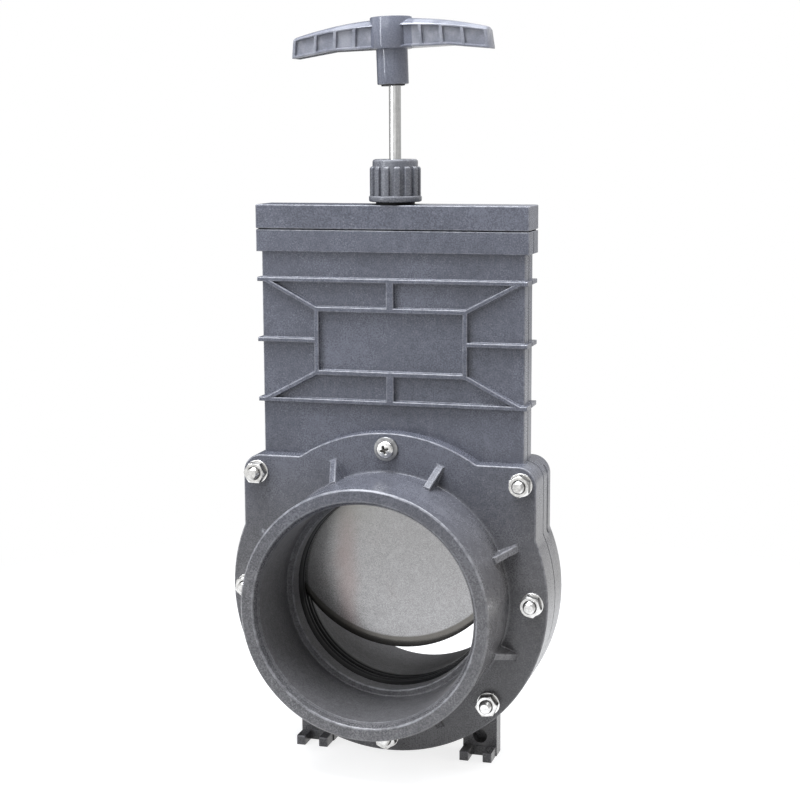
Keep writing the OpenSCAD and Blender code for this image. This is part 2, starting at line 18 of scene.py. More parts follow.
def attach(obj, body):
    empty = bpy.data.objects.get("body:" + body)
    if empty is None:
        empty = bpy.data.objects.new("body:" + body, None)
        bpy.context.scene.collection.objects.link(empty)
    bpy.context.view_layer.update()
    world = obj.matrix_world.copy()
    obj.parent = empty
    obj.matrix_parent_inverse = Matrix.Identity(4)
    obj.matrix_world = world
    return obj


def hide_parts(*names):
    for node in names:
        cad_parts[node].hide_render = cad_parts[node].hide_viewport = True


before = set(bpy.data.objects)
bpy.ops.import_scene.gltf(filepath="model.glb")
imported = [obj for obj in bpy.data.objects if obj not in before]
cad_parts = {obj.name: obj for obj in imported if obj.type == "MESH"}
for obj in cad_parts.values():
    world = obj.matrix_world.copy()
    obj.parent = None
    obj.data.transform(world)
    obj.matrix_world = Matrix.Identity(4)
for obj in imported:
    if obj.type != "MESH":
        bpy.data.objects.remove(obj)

LOG = logging.getLogger("slide_valve")
MM = 0.001
RIM = "rim"

# Points closer than WELD become one, and faces that turn less than FLAT_TURN become one.
WELD = 0.001 * MM
FLAT_TURN = math.radians(0.3)
# Edges that turn more than ROUNDED_TURN get a rounding, whose facets turn more than RIM_TURN.
ROUNDED_TURN = math.radians(24)
RIM_TURN = math.radians(4)
# Edges that turn less than this, in degrees, are shaded smooth where nothing else is asked for.
SMOOTH = 35.0
# Roundings are marked for wear at a base level, and more where they face up, front and left, where the key
# light comes from: that extra is painted highlight.
HIGHLIGHT_SIDE = Vector((-0.15, -0.30, 0.60))
WEAR_AND_SHEEN_LEVEL = 0.36
SHEEN_SLOPE = 0.65
WEAR_AND_SHEEN_LEAST = 0.12

Colour = Tuple[float, float, float]
Triple = Tuple[float, float, float]
Point = Tuple[float, float]
Radius = Union[float, Callable[[Vector, Vector], float]]


class Body(Enum):
    """The moving bodies of the valve."""

    HOUSING = "housing"
    GATE = "gate"
    FOLLOWER = "gland_follower"
    NUT = "gland_nut"


class Slot(Enum):
    """The material slots of the record."""

    PVC = "grey_pvc"
    HANDLE = "handle_plastic"
    RUBBER = "black_rubber"
    PACKING = "packing_rubber"
    BLACK_PLASTIC = "black_plastic"
    SHEET = "satin_stainless"
    ROD = "bright_stainless"
    ZINC = "zinc_steel"
    BLACK_STEEL = "black_steel"


# Shader maths


class Signal:
    """A number that changes over a surface, held as the output socket of a node."""

    def __init__(self, sheet: "ShaderSheet", socket: bpy.types.NodeSocket) -> None:
        """Wraps a socket.

        Args:
            sheet: the node tree the socket is in.
            socket: the output that carries the number.
        """
        self.sheet = sheet
        self.socket = socket

    def _math(self, operation: str, first: "Number", second: "Number", clamp: bool = False) -> "Signal":
        """Adds one Math node.

        Args:
            operation: the operation of the Math node.
            first: its first value.
            second: its second value.
            clamp: whether the result is kept from 0 to 1.

        Returns:
            The result.
        """
        node = self.sheet.add(
            "ShaderNodeMath", {"operation": operation, "use_clamp": clamp}, {0: first, 1: second}
        )
        return Signal(self.sheet, node.outputs[0])

    def __add__(self, other: "Number") -> "Signal":
        """Sum."""
        return self._math("ADD", self, other)

    def __radd__(self, other: float) -> "Signal":
        """Sum with a plain number first."""
        return self._math("ADD", other, self)

    def __sub__(self, other: "Number") -> "Signal":
        """Difference."""
        return self._math("SUBTRACT", self, other)

    def __rsub__(self, other: float) -> "Signal":
        """Difference from a plain number."""
        return self._math("SUBTRACT", other, self)

    def __mul__(self, other: "Number") -> "Signal":
        """Product."""
        return self._math("MULTIPLY", self, other)

    def __pow__(self, other: "Number") -> "Signal":
        """Power."""
        return self._math("POWER", self, other)

    def kept(self) -> "Signal":
        """The same number kept from 0 to 1."""
        return self._math("ADD", self, 0.0, clamp=True)

    def step(self, low: float, high: float) -> "Signal":
        """A soft step that is 0 below low and 1 above high.

        Args:
            low: where the step starts.
            high: where it is complete.

        Returns:
            The step.
        """
        node = self.sheet.add(
            "ShaderNodeMapRange",
            {"interpolation_type": "SMOOTHSTEP"},
            {"Value": self, "From Min": low, "From Max": high},
        )
        return Signal(self.sheet, node.outputs["Result"])


Number = Union[float, Signal]


class ShaderSheet:
    """The node tree of one material, or of the world."""

    def __init__(self, name: str, world: bool = False) -> None:
        """Starts an empty tree.

        Args:
            name: the name of the material or world.
            world: whether it is the world's tree.
        """
        block = bpy.data.worlds.new(name) if world else bpy.data.materials.new(name)
        block.use_nodes = True
        self.block = block
        self.tree = block.node_tree
        self.tree.nodes.clear()

    def add(
        self, kind: str, settings: Optional[Dict[str, Any]] = None, inputs: Optional[Dict[Any, Any]] = None
    ) -> bpy.types.Node:
        """Adds a node of any type.

        Args:
            kind: the node's type.
            settings: its settings, which are set first.
            inputs: for each input, by name or index, a value, a Signal or an output socket.

        Returns:
            The node.
        """
        node = self.tree.nodes.new(kind)
        for key, value in (settings or {}).items():
            setattr(node, key, value)
        for key, value in (inputs or {}).items():
            if isinstance(value, Signal):
                self.tree.links.new(value.socket, node.inputs[key])
            elif isinstance(value, bpy.types.NodeSocket):
                self.tree.links.new(value, node.inputs[key])
            else:
                node.inputs[key].default_value = value
        return node

    def place(self) -> bpy.types.NodeSocket:
        """The place on the piece, in metres."""
        return self.add("ShaderNodeTexCoord").outputs["Object"]

    def stretched(self, scale: Triple, turn: Triple = (0.0, 0.0, 0.0)) -> bpy.types.NodeSocket:
        """The place on the piece, turned and then scaled apart along each axis.

        Args:
            scale: the scale along X, Y and Z.
            turn: the turn about each axis in degrees.

        Returns:
            The vector.
        """
        turned = self.add(
            "ShaderNodeMapping",
            {"vector_type": "POINT"},
            {"Vector": self.place(), "Rotation": tuple(math.radians(a) for a in turn)},
        )
        node = self.add(
            "ShaderNodeVectorMath", {"operation": "MULTIPLY"}, {0: turned.outputs["Vector"], 1: scale}
        )
        return node.outputs["Vector"]

    def noise(
        self, spacing: float, detail: float = 2.0, roughness: float = 0.5, vector: Optional[Any] = None
    ) -> Signal:
        """Cloudy noise from 0 to 1.

        Args:
            spacing: the size of its spots in metres.
            detail: how many finer layers it has.
            roughness: how strong the finer layers are.
            vector: where it is read, or None for the place on the piece.

        Returns:
            The noise.
        """
        node = self.add(
            "ShaderNodeTexNoise",
            {"noise_dimensions": "3D"},
            {
                "Vector": vector or self.place(),
                "Scale": 1.0 / spacing,
                "Detail": detail,
                "Roughness": roughness,
            },
        )
        return Signal(self, node.outputs["Fac"])

    def axis(self, index: int) -> Signal:
        """One coordinate of the place on the piece.

        Args:
            index: 0 for X, 1 for Y and 2 for Z.

        Returns:
            The coordinate in metres.
        """
        node = self.add("ShaderNodeSeparateXYZ", None, {0: self.place()})
        return Signal(self, node.outputs[index])

    def rim(self) -> Signal:
        """The mark of a face, from 0 to 1: wear with painted highlight on rims, painted sheen on the handle's
        wings, painted shade on fastener sides and screw recesses.
        """
        node = self.add("ShaderNodeAttribute", {"attribute_type": "GEOMETRY", "attribute_name": RIM})
        return Signal(self, node.outputs["Fac"])

    def blend(self, factor: Number, first: Any, second: Any) -> bpy.types.NodeSocket:
        """A mix of two colours.

        Args:
            factor: 0 for the first and 1 for the second.
            first: a colour or a colour socket.
            second: a colour or a colour socket.

        Returns:
            The mixed colour.
        """
        inputs = {0: factor}
        for index, value in ((6, first), (7, second)):
            inputs[index] = (*value, 1.0) if isinstance(value, tuple) else value
        node = self.add("ShaderNodeMix", {"data_type": "RGBA", "clamp_factor": True}, inputs)
        return node.outputs[2]

    def bump(self, height: Signal, depth: float) -> bpy.types.NodeSocket:
        """A bumped normal.

        Args:
            height: the height from 0 to 1.
            depth: the real depth of the bumps in metres.

        Returns:
            The normal.
        """
        node = self.add("ShaderNodeBump", None, {"Height": height, "Distance": depth, "Strength": 1.0})
        return node.outputs["Normal"]

    def surface(self, **inputs: Any) -> bpy.types.Material:
        """Ends a material with one Principled shader.

        Args:
            **inputs: the shader's inputs, with _ for a space in their names.

        Returns:
            The material.
        """
        named = {}
        for key, value in inputs.items():
            named[key.replace("_", " ")] = (*value, 1.0) if isinstance(value, tuple) else value
        shader = self.add("ShaderNodeBsdfPrincipled", None, named)
        self.add("ShaderNodeOutputMaterial", None, {"Surface": shader.outputs["BSDF"]})
        return self.block


# Finishes


@dataclass(frozen=True)
class MouldedPlastic:
    """Rigid moulded plastic with a satin skin: cloudy, speckled, scuffed, paler on its marked faces from wear
    and painted highlight, and with a painted light tint, bluer above and more neutral below.
    """

    name: str
    colour: Colour = (0.149, 0.156, 0.190)
    deep: Colour = (0.066, 0.070, 0.088)
    wear_and_sheen: Colour = (0.50, 0.50, 0.52)
    roughness: float = 0.26
    cloud: float = 28 * MM
    mottle: float = 3.2 * MM
    speck: float = 0.75 * MM
    layers: Triple = (0.22, 0.28, 0.60)
    tone_span: Point = (0.38, 0.74)
    grain_depth: float = 0.05 * MM
    wear_and_sheen_mix: float = 0.43
    low_light_tint: Optional[Colour] = None
    low_light_tint_deep: Optional[Colour] = None
    light_tint_span: Point = (95 * MM, 180 * MM)
    scuffs: float = 0.5
    scuff_w: float = 1.0 * MM
    scuff_turn: Triple = (18.0, 38.0, 12.0)
    bore_r: float = 0.0
    bore_z: float = 88.8 * MM
    bore_fade: float = 0.6 * MM
    bore_rough: float = 0.28

    def material(self) -> bpy.types.Material:
        """Builds the material.

        Returns:
            The material.
        """
        sheet = ShaderSheet(self.name)
        clouds = sheet.noise(self.cloud, 3.0, 0.55)
        mottles = sheet.noise(self.mottle, 4.0, 0.6)
        specks = sheet.noise(self.speck, 2.0, 0.6)
        tone = (clouds * self.layers[0] + mottles * self.layers[1] + specks * self.layers[2]).kept()
        deep, colour = self.deep, self.colour
        # Painted light tint: bluer above, where the cool top light falls, and more neutral below.
        if self.low_light_tint and self.low_light_tint_deep:
            cool = sheet.axis(2).step(*self.light_tint_span)
            deep, colour = sheet.blend(cool, self.low_light_tint_deep, deep), sheet.blend(cool, self.low_light_tint, colour)
        base = sheet.blend(tone.step(*self.tone_span), deep, colour)
        lines = sheet.noise(self.scuff_w, 1.0, 0.5, sheet.stretched((1.0, 1.0, 0.05), self.scuff_turn))
        scuff = lines.step(0.66, 0.74) * clouds.step(0.50, 0.68) * self.scuffs
        # Marked faces turn pale: wear on the rims, with a painted highlight where they face the key light; on
        # the handle's wings the mark is all painted sheen.
        rubbed_and_sheen = sheet.rim() * (mottles.step(0.36, 0.62) * 0.65 + 0.35)
        wear_and_sheen = (rubbed_and_sheen + scuff * 0.5).kept()
        colour = sheet.blend(wear_and_sheen * self.wear_and_sheen_mix, base, self.wear_and_sheen)
        rough = self.roughness + (clouds - 0.5) * 0.16 + (specks - 0.5) * 0.10 + scuff * 0.1 - rubbed_and_sheen * 0.06
        if self.bore_r:
            across, rise = sheet.axis(0), sheet.axis(2) - self.bore_z
            out = (across * across + rise * rise) ** 0.5
            inside = 1.0 - out.step(self.bore_r, self.bore_r + self.bore_fade)
            rough = rough + inside * self.bore_rough
        height = (specks * 0.65 + mottles * 0.35).kept()
        return sheet.surface(
            Base_Color=colour,
            Roughness=rough.kept(),
            Normal=sheet.bump(height, self.grain_depth),
            IOR=1.50,
            Specular_IOR_Level=0.5,
        )


@dataclass(frozen=True)
class SealRubber:
    """Black rubber, matt, with a faint bloom and fine grain."""

    name: str
    colour: Colour = (0.005, 0.005, 0.006)
    bloom: Colour = (0.014, 0.014, 0.015)
    roughness: float = 0.48

    def material(self) -> bpy.types.Material:
        """Builds the material.

        Returns:
            The material.
        """
        sheet = ShaderSheet(self.name)
        clouds = sheet.noise(9 * MM, 3.0, 0.6)
        grain = sheet.noise(0.5 * MM, 2.0, 0.6)
        colour = sheet.blend((clouds * 0.7 + grain * 0.3).step(0.40, 0.75), self.colour, self.bloom)
        rough = (self.roughness + (grain - 0.5) * 0.2 + (clouds - 0.5) * 0.15).kept()
        normal = sheet.bump(grain, 0.03 * MM)
        return sheet.surface(Base_Color=colour, Roughness=rough, Normal=normal, Specular_IOR_Level=0.16)


@dataclass(frozen=True)
class RolledSheet:
    """Stainless sheet with a fine rolled grain, faint scratches and a warm bloom in places, paler towards the
    top as painted light, and its lower bevel painted dark as a painted reflection.
    """

    name: str
    colour: Colour = (0.375, 0.372, 0.374)
    shade: Colour = (0.22, 0.218, 0.217)
    bloom: Colour = (0.30, 0.235, 0.225)
    olive: Colour = (0.26, 0.26, 0.215)
    top_light_tint: Colour = (0.47, 0.47, 0.475)
    bevel_reflection_dark: Colour = (0.105, 0.098, 0.086)
    roughness: float = 0.225
    grain: float = 0.42 * MM
    sway: float = 8 * MM
    arc_z: float = 122.6 * MM
    arc_r: float = 60.9 * MM
    bevel_w: float = 1.0 * MM
    bevel_span: Point = (-32 * MM, -18 * MM)
    bloom_x: float = -27.0 * MM
    bloom_w: float = 9.0 * MM
    olive_x: float = -25 * MM
    top_light_span: Point = (-62 * MM, 50 * MM)
    high_span: Point = (-15 * MM, 25 * MM)

    def material(self) -> bpy.types.Material:
        """Builds the material.

        Returns:
            The material.
        """
        sheet = ShaderSheet(self.name)
        crystals = sheet.noise(self.grain, 3.0, 0.7)
        clouds = sheet.noise(24 * MM, 3.0, 0.5)
        patches = sheet.noise(4.5 * MM, 3.0, 0.6)
        scratch = sheet.noise(0.8 * MM, 1.0, 0.5, sheet.stretched((0.04, 1.0, 1.0), (0.0, 24.0, 0.0)))
        tone = sheet.blend((crystals * 0.85 + patches * 0.15).step(0.36, 0.64), self.shade, self.colour)
        across = sheet.axis(0) + (clouds - 0.5) * self.sway
        band = across.step(self.bloom_x - self.bloom_w, self.bloom_x)
        band = band * (1.0 - across.step(self.bloom_x, self.bloom_x + self.bloom_w))
        rise = sheet.axis(2) - self.arc_z
        # Painted light: the sheet is paler towards the top.
        tone = sheet.blend(rise.step(*self.top_light_span) * 0.45, tone, self.top_light_tint)
        high = rise.step(*self.high_span)
        warm = (band * 0.5 * (1.0 - high) + clouds.step(0.55, 0.75) * 0.15).kept()
        skin = sheet.blend(warm, tone, self.bloom)
        skin = sheet.blend(high * (1.0 - across.step(self.olive_x, 0.0)) * 0.5, skin, self.olive)
        # The bevel along the lower arc is painted dark: a painted reflection of the dark socket floor it
        # faces.
        out = (sheet.axis(0) * sheet.axis(0) + rise * rise) ** 0.5
        bevel = out.step(self.arc_r, self.arc_r + self.bevel_w) * (1.0 - rise.step(*self.bevel_span))
        colour = sheet.blend(bevel * 0.85, skin, self.bevel_reflection_dark)
        rough = (self.roughness + (crystals - 0.5) * 0.12 + (clouds - 0.5) * 0.14).kept()
        height = (crystals * 0.8 + scratch.step(0.68, 0.74) * 0.2).kept()
        return sheet.surface(
            Base_Color=colour, Metallic=1.0, Roughness=rough, Normal=sheet.bump(height, 0.006 * MM)
        )


@dataclass(frozen=True)
class DrawnBar:
    """Bright drawn steel bar with hair lines along it."""

    name: str
    colour: Colour = (0.70, 0.70, 0.695)
    shade: Colour = (0.50, 0.50, 0.50)
    roughness: float = 0.17

    def material(self) -> bpy.types.Material:
        """Builds the material.

        Returns:
            The material.
        """
        sheet = ShaderSheet(self.name)
        hairs = sheet.noise(0.3 * MM, 3.0, 0.6, sheet.stretched((1.0, 1.0, 0.02)))
        rings = sheet.noise(2.5 * MM, 2.0, 0.5)
        colour = sheet.blend((hairs * 0.7 + rings * 0.3).step(0.30, 0.62), self.shade, self.colour)
        rough = (self.roughness + (hairs - 0.5) * 0.14 + (rings - 0.5) * 0.10).kept()
        return sheet.surface(
            Base_Color=colour, Metallic=1.0, Roughness=rough, Normal=sheet.bump(hairs, 0.004 * MM)
        )


@dataclass(frozen=True)
class PlatedSteel:
    """Plated steel of the fasteners: bright, softly mottled, darker and rougher on marked faces, which is
    painted shade on the sides of nuts and bolts and in screw recesses.
    """

    name: str
    colour: Colour = (0.78, 0.775, 0.76)
    dull: Colour = (0.46, 0.455, 0.445)
    shade_dark: Colour = (0.105, 0.098, 0.090)
    roughness: float = 0.22

    def material(self) -> bpy.types.Material:
        """Builds the material.

        Returns:
            The material.
        """
        sheet = ShaderSheet(self.name)
        mottles = sheet.noise(1.6 * MM, 3.0, 0.6)
        grain = sheet.noise(0.25 * MM, 2.0, 0.6)
        colour = sheet.blend((mottles * 0.6 + grain * 0.4).step(0.30, 0.62), self.dull, self.colour)
        # Marked faces go dark: painted shade on nut and bolt sides and in screw recesses; rounded rims of
        # other plated pieces are darkened too.
        shade_share = (sheet.rim() * (mottles * 0.5 + 0.7)).kept()
        colour = sheet.blend(shade_share * 0.92, colour, self.shade_dark)
        rough = (self.roughness + (mottles - 0.5) * 0.22 + (grain - 0.5) * 0.12 + shade_share * 0.16).kept()
        return sheet.surface(
            Base_Color=colour, Metallic=1.0, Roughness=rough, Normal=sheet.bump(grain, 0.008 * MM)
        )


@dataclass(frozen=True)
class FinishSet:
    """Every finish of the valve, made once."""

    pvc: bpy.types.Material
    nut_plastic: bpy.types.Material
    handle: bpy.types.Material
    rubber: bpy.types.Material
    packing: bpy.types.Material
    black_plastic: bpy.types.Material
    sheet: bpy.types.Material
    rod: bpy.types.Material
    zinc: bpy.types.Material
    dull_zinc: bpy.types.Material
    black_steel: bpy.types.Material

    @classmethod
    def make(cls) -> "FinishSet":
        """Builds every material.

        Returns:
            The set.
        """
        return cls(
            pvc=MouldedPlastic(
                "moulded_pvc",
                low_light_tint=(0.170, 0.167, 0.172),
                low_light_tint_deep=(0.070, 0.069, 0.073),
                bore_r=55.3 * MM,
            ).material(),
            nut_plastic=MouldedPlastic(
                "nut_plastic", colour=(0.140, 0.144, 0.162), deep=(0.085, 0.088, 0.100), roughness=0.27
            ).material(),
            handle=MouldedPlastic(
                "handle_plastic",
                colour=(0.177, 0.187, 0.228),
                deep=(0.122, 0.129, 0.160),
                roughness=0.13,
                mottle=9 * MM,
                grain_depth=0.008 * MM,
                scuffs=0.2,
                wear_and_sheen_mix=0.64,
            ).material(),
            rubber=SealRubber("seal_rubber").material(),
            packing=SealRubber("packing_rubber", roughness=0.55).material(),
            black_plastic=MouldedPlastic(
                "black_plastic",
                colour=(0.020, 0.020, 0.022),
                deep=(0.012, 0.012, 0.013),
                wear_and_sheen=(0.09, 0.09, 0.095),
                roughness=0.38,
            ).material(),
            sheet=RolledSheet("rolled_sheet").material(),
            rod=DrawnBar("drawn_bar").material(),
            zinc=PlatedSteel("zinc_plate").material(),
            # The top washers get a darker, rougher zinc.
            dull_zinc=PlatedSteel(
                "dull_zinc_plate", colour=(0.34, 0.34, 0.34), dull=(0.20, 0.20, 0.205), roughness=0.36
            ).material(),
            black_steel=PlatedSteel(
                "blackened_steel", colour=(0.075, 0.075, 0.08), dull=(0.035, 0.035, 0.038), roughness=0.40
            ).material(),
        )


# Shape helpers


def welded(node: str) -> bmesh.types.BMesh:
    """A copy of a frame node with its split points joined and its flat faces whole.

    Args:
        node: the node's name.

    Returns:
        The copy.
    """
    mesh = bmesh.new()
    mesh.from_mesh(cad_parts[node].data)
    bmesh.ops.remove_doubles(mesh, verts=mesh.verts, dist=WELD)
    bmesh.ops.dissolve_limit(mesh, angle_limit=FLAT_TURN, verts=mesh.verts, edges=mesh.edges)
    mesh.normal_update()
    return mesh


def solids(node: str) -> List[List[Vector]]:
    """The points of each separate solid of a frame node.

    Args:
        node: the node's name.

    Returns:
        One sorted list of points for each solid, in the order of their places.
    """
    mesh = welded(node)
    left = set(mesh.verts)
    found = []
    while left:
        group = {left.pop()}
        edge_of_group = list(group)
        while edge_of_group:
            vert = edge_of_group.pop()
            for link in vert.link_edges:
                other = link.other_vert(vert)
                if other not in group:
                    group.add(other)
                    edge_of_group.append(other)
        left -= group
        found.append(sorted((v.co.copy() for v in group), key=tuple))
    mesh.free()
    return sorted(found, key=lambda points: tuple(round(c, 5) for c in centre_of(points)))


def centre_of(points: Sequence[Vector]) -> Vector:
    """The middle of the box round some points.

    Args:
        points: the points.

    Returns:
        The middle.
    """
    return (low_of(points) + high_of(points)) / 2


def low_of(points: Sequence[Vector]) -> Vector:
    """The lowest corner of the box round some points."""
    return Vector([min(p[i] for p in points) for i in range(3)])


def high_of(points: Sequence[Vector]) -> Vector:
    """The highest corner of the box round some points."""
    return Vector([max(p[i] for p in points) for i in range(3)])


def reach_of(point: Vector, middle: Vector) -> float:
    """How far a point is from the line along the pipe through a middle."""
    return math.hypot(point.x - middle.x, point.z - middle.z)


def piece_of(
    mesh: bmesh.types.BMesh, name: str, finish: bpy.types.Material, smooth: float = SMOOTH
) -> bpy.types.Object:
    """Makes an object from a mesh, smooth where it turns less than an angle.

    Args:
        mesh: the mesh, which is freed.
        name: the piece's name.
        finish: its material.
        smooth: the angle in degrees.

    Returns:
        The object.
    """
    data = bpy.data.meshes.new(name)
    bmesh.ops.recalc_face_normals(mesh, faces=mesh.faces)
    mesh.to_mesh(data)
    mesh.free()
    data.shade_smooth()
    data.set_sharp_from_angle(angle=math.radians(smooth))
    data.materials.append(finish)
    piece = bpy.data.objects.new(name, data)
    bpy.context.scene.collection.objects.link(piece)
    return piece


def settled(piece: bpy.types.Object) -> None:
    """Applies the modifiers of a piece and sets its sharp edges again.

    Args:
        piece: the piece.
    """
    graph = bpy.context.evaluated_depsgraph_get()
    data = bpy.data.meshes.new_from_object(piece.evaluated_get(graph))
    piece.modifiers.clear()
    piece.data = data
    data.shade_smooth()
    data.set_sharp_from_angle(angle=math.radians(SMOOTH))


def flattened(piece: bpy.types.Object) -> None:
    """Keeps the big faces of a rounded piece flat in its shading.

    Args:
        piece: the piece.
    """
    weighted = piece.modifiers.new("flat_faces", "WEIGHTED_NORMAL")
    weighted.keep_sharp = True
    weighted.weight = 50


def mark_faces(piece: bpy.types.Object, shares: Sequence[float]) -> None:
    """Gives every face of a piece its mark for the finish.

    Args:
        piece: the piece.
        shares: the marks, from 0 to 1, in the order of the faces.
    """
    piece.data.attributes.new(RIM, "FLOAT", "FACE").data.foreach_set("value", shares)


def marked(piece: bpy.types.Object, share_at: Callable[[Vector, Vector], float]) -> None:
    """Marks the faces of a built piece for its finish.

    Args:
        piece: the piece.
        share_at: gives the mark, from 0 to 1, of a face from its middle and its normal.
    """
    mark_faces(piece, [share_at(face.center, face.normal) for face in piece.data.polygons])


def with_rims(piece: bpy.types.Object) -> None:
    """Marks the roundings of a piece that stand out, so its finish can show wear there, with a painted
    highlight where they face the key light.

    Args:
        piece: the rounded piece, whose roundings have the second material slot.
    """
    mesh = bmesh.new()
    mesh.from_mesh(piece.data)
    rims = []
    for face in mesh.faces:
        turns = [e for e in face.edges if len(e.link_faces) == 2 and e.calc_face_angle(0.0) > RIM_TURN]
        outward = sum(e.calc_length() * (1 if e.is_convex else -1) for e in turns)
        # The share rises where the face turns to the key light: painted highlight over the wear.
        share = min(1.0, max(WEAR_AND_SHEEN_LEAST, WEAR_AND_SHEEN_LEVEL + SHEEN_SLOPE * face.normal.dot(HIGHLIGHT_SIDE)))
        rims.append(share if face.material_index == 1 and outward > 0 else 0.0)
        face.material_index = 0
    mesh.to_mesh(piece.data)
    mesh.free()
    mark_faces(piece, rims)
    piece.data.materials.pop(index=1)


def dress(piece: bpy.types.Object, body: Body, slot: Slot, *nodes: str) -> None:
    """Puts a piece on its body and hides the frame nodes it stands for.

    Args:
        piece: the piece, in place.
        body: the body it rides on.
        slot: not used. the record's slot.
        *nodes: the frame nodes it stands for.
    """
    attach(piece, body.value)
    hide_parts(*nodes)
    LOG.info("%s on %s: %d faces", piece.name, body.value, len(piece.data.polygons))


def rounded_copy(
    node: str, body: Body, slot: Slot, finish: bpy.types.Material, radius: Radius, segments: int = 3
) -> None:
    """Puts a copy with rounded edges in the place of a frame node.

    Args:
        node: the node's name.
        body: the body it rides on.
        slot: the record's slot.
        finish: the material.
        radius: the radius in metres, or what gives it from the middle and the direction of an edge.
        segments: how many facets each rounding has.
    """
    mesh = welded(node)
    layer = mesh.edges.layers.float.new("bevel_weight_edge")
    radii = {}
    for edge in mesh.edges:
        if len(edge.link_faces) == 2 and edge.calc_face_angle(0.0) > ROUNDED_TURN:
            ends = [v.co for v in edge.verts]
            middle, way = (ends[0] + ends[1]) / 2, (ends[1] - ends[0]).normalized()
            radii[edge] = radius(middle, way) if callable(radius) else radius
    widest = max(radii.values())
    for edge, own in radii.items():
        edge[layer] = own / widest
    piece = piece_of(mesh, node + "_rounded", finish)
    piece.data.materials.append(None)
    rounding = piece.modifiers.new("rounding", "BEVEL")
    rounding.material = 1
    rounding.width = widest
    rounding.segments = segments
    rounding.limit_method = "WEIGHT"
    rounding.use_clamp_overlap = False
    rounding.miter_outer = "MITER_SHARP"
    bpy.context.view_layer.update()
    settled(piece)
    with_rims(piece)
    flattened(piece)
    dress(piece, body, slot, node)


def ring_strip(
    mesh: bmesh.types.BMesh, rings: Sequence[Sequence[Vector]], place: Matrix, closed: bool = False
) -> None:
    """Joins rings of points with quads and puts the shape in its place.

    Args:
        mesh: the mesh to add to.
        rings: the rings, each with the same number of points.
        place: where the shape goes.
        closed: whether the last ring joins the first; otherwise both ends are capped.
    """
    loops = [[mesh.verts.new(place @ p) for p in ring] for ring in rings]
    pairs = list(zip(loops, loops[1:]))
    if closed:
        pairs.append((loops[-1], loops[0]))
    for lower, upper in pairs:
        for i in range(len(lower)):
            j = (i + 1) % len(lower)
            mesh.faces.new((lower[i], lower[j], upper[j], upper[i]))
    if not closed:
        mesh.faces.new(list(reversed(loops[0])))
        mesh.faces.new(loops[-1])


def round_ring(radius: float, height: float, count: int) -> List[Vector]:
    """A level ring of points about Z.

    Args:
        radius: its radius.
        height: its height.
        count: how many points it has.

    Returns:
        The points.
    """
    return [
        Vector((radius * math.cos(math.tau * i / count), radius * math.sin(math.tau * i / count), height))
        for i in range(count)
    ]


def eased(radius: float, height: float, out: float, up: float) -> List[Point]:
    """The points that round a corner of a profile, from its upright side to its level one.

    Args:
        radius: radius of the corner.
        height: height of the corner.
        out: how far the rounding reaches along the radius, below 0 for inwards.
        up: how far it reaches along the height, below 0 for downwards.

    Returns:
        Three (radius, height) points.
    """
    return [(radius, height + up), (radius + out * 0.3, height + up * 0.3), (radius + out, height)]


def turned(
    mesh: bmesh.types.BMesh, profile: Sequence[Point], place: Matrix, count: int, closed: bool = False
) -> None:
    """Turns a profile of (radius, height) points about Z and puts it in its place.

    Args:
        mesh: the mesh to add to.
        profile: the points.
        place: where the turned shape goes.
        count: how many steps the turn has.
        closed: whether the profile closes on itself; otherwise both ends are capped.
    """
    ring_strip(mesh, [round_ring(r, h, count) for r, h in profile], place, closed)


def facing(x: float, y: float, z: float, front: bool) -> Matrix:
    """The place of a fastener whose local Z points out of a flange.

    Args:
        x: sideways place.
        y: place along the pipe.
        z: height.
        front: whether it points to the front, which is -Y.

    Returns:
        The matrix.
    """
    return Matrix.Translation((x, y, z)) @ Matrix.Rotation(math.radians(90 if front else -90), 4, "X")


# Sub-assemblies


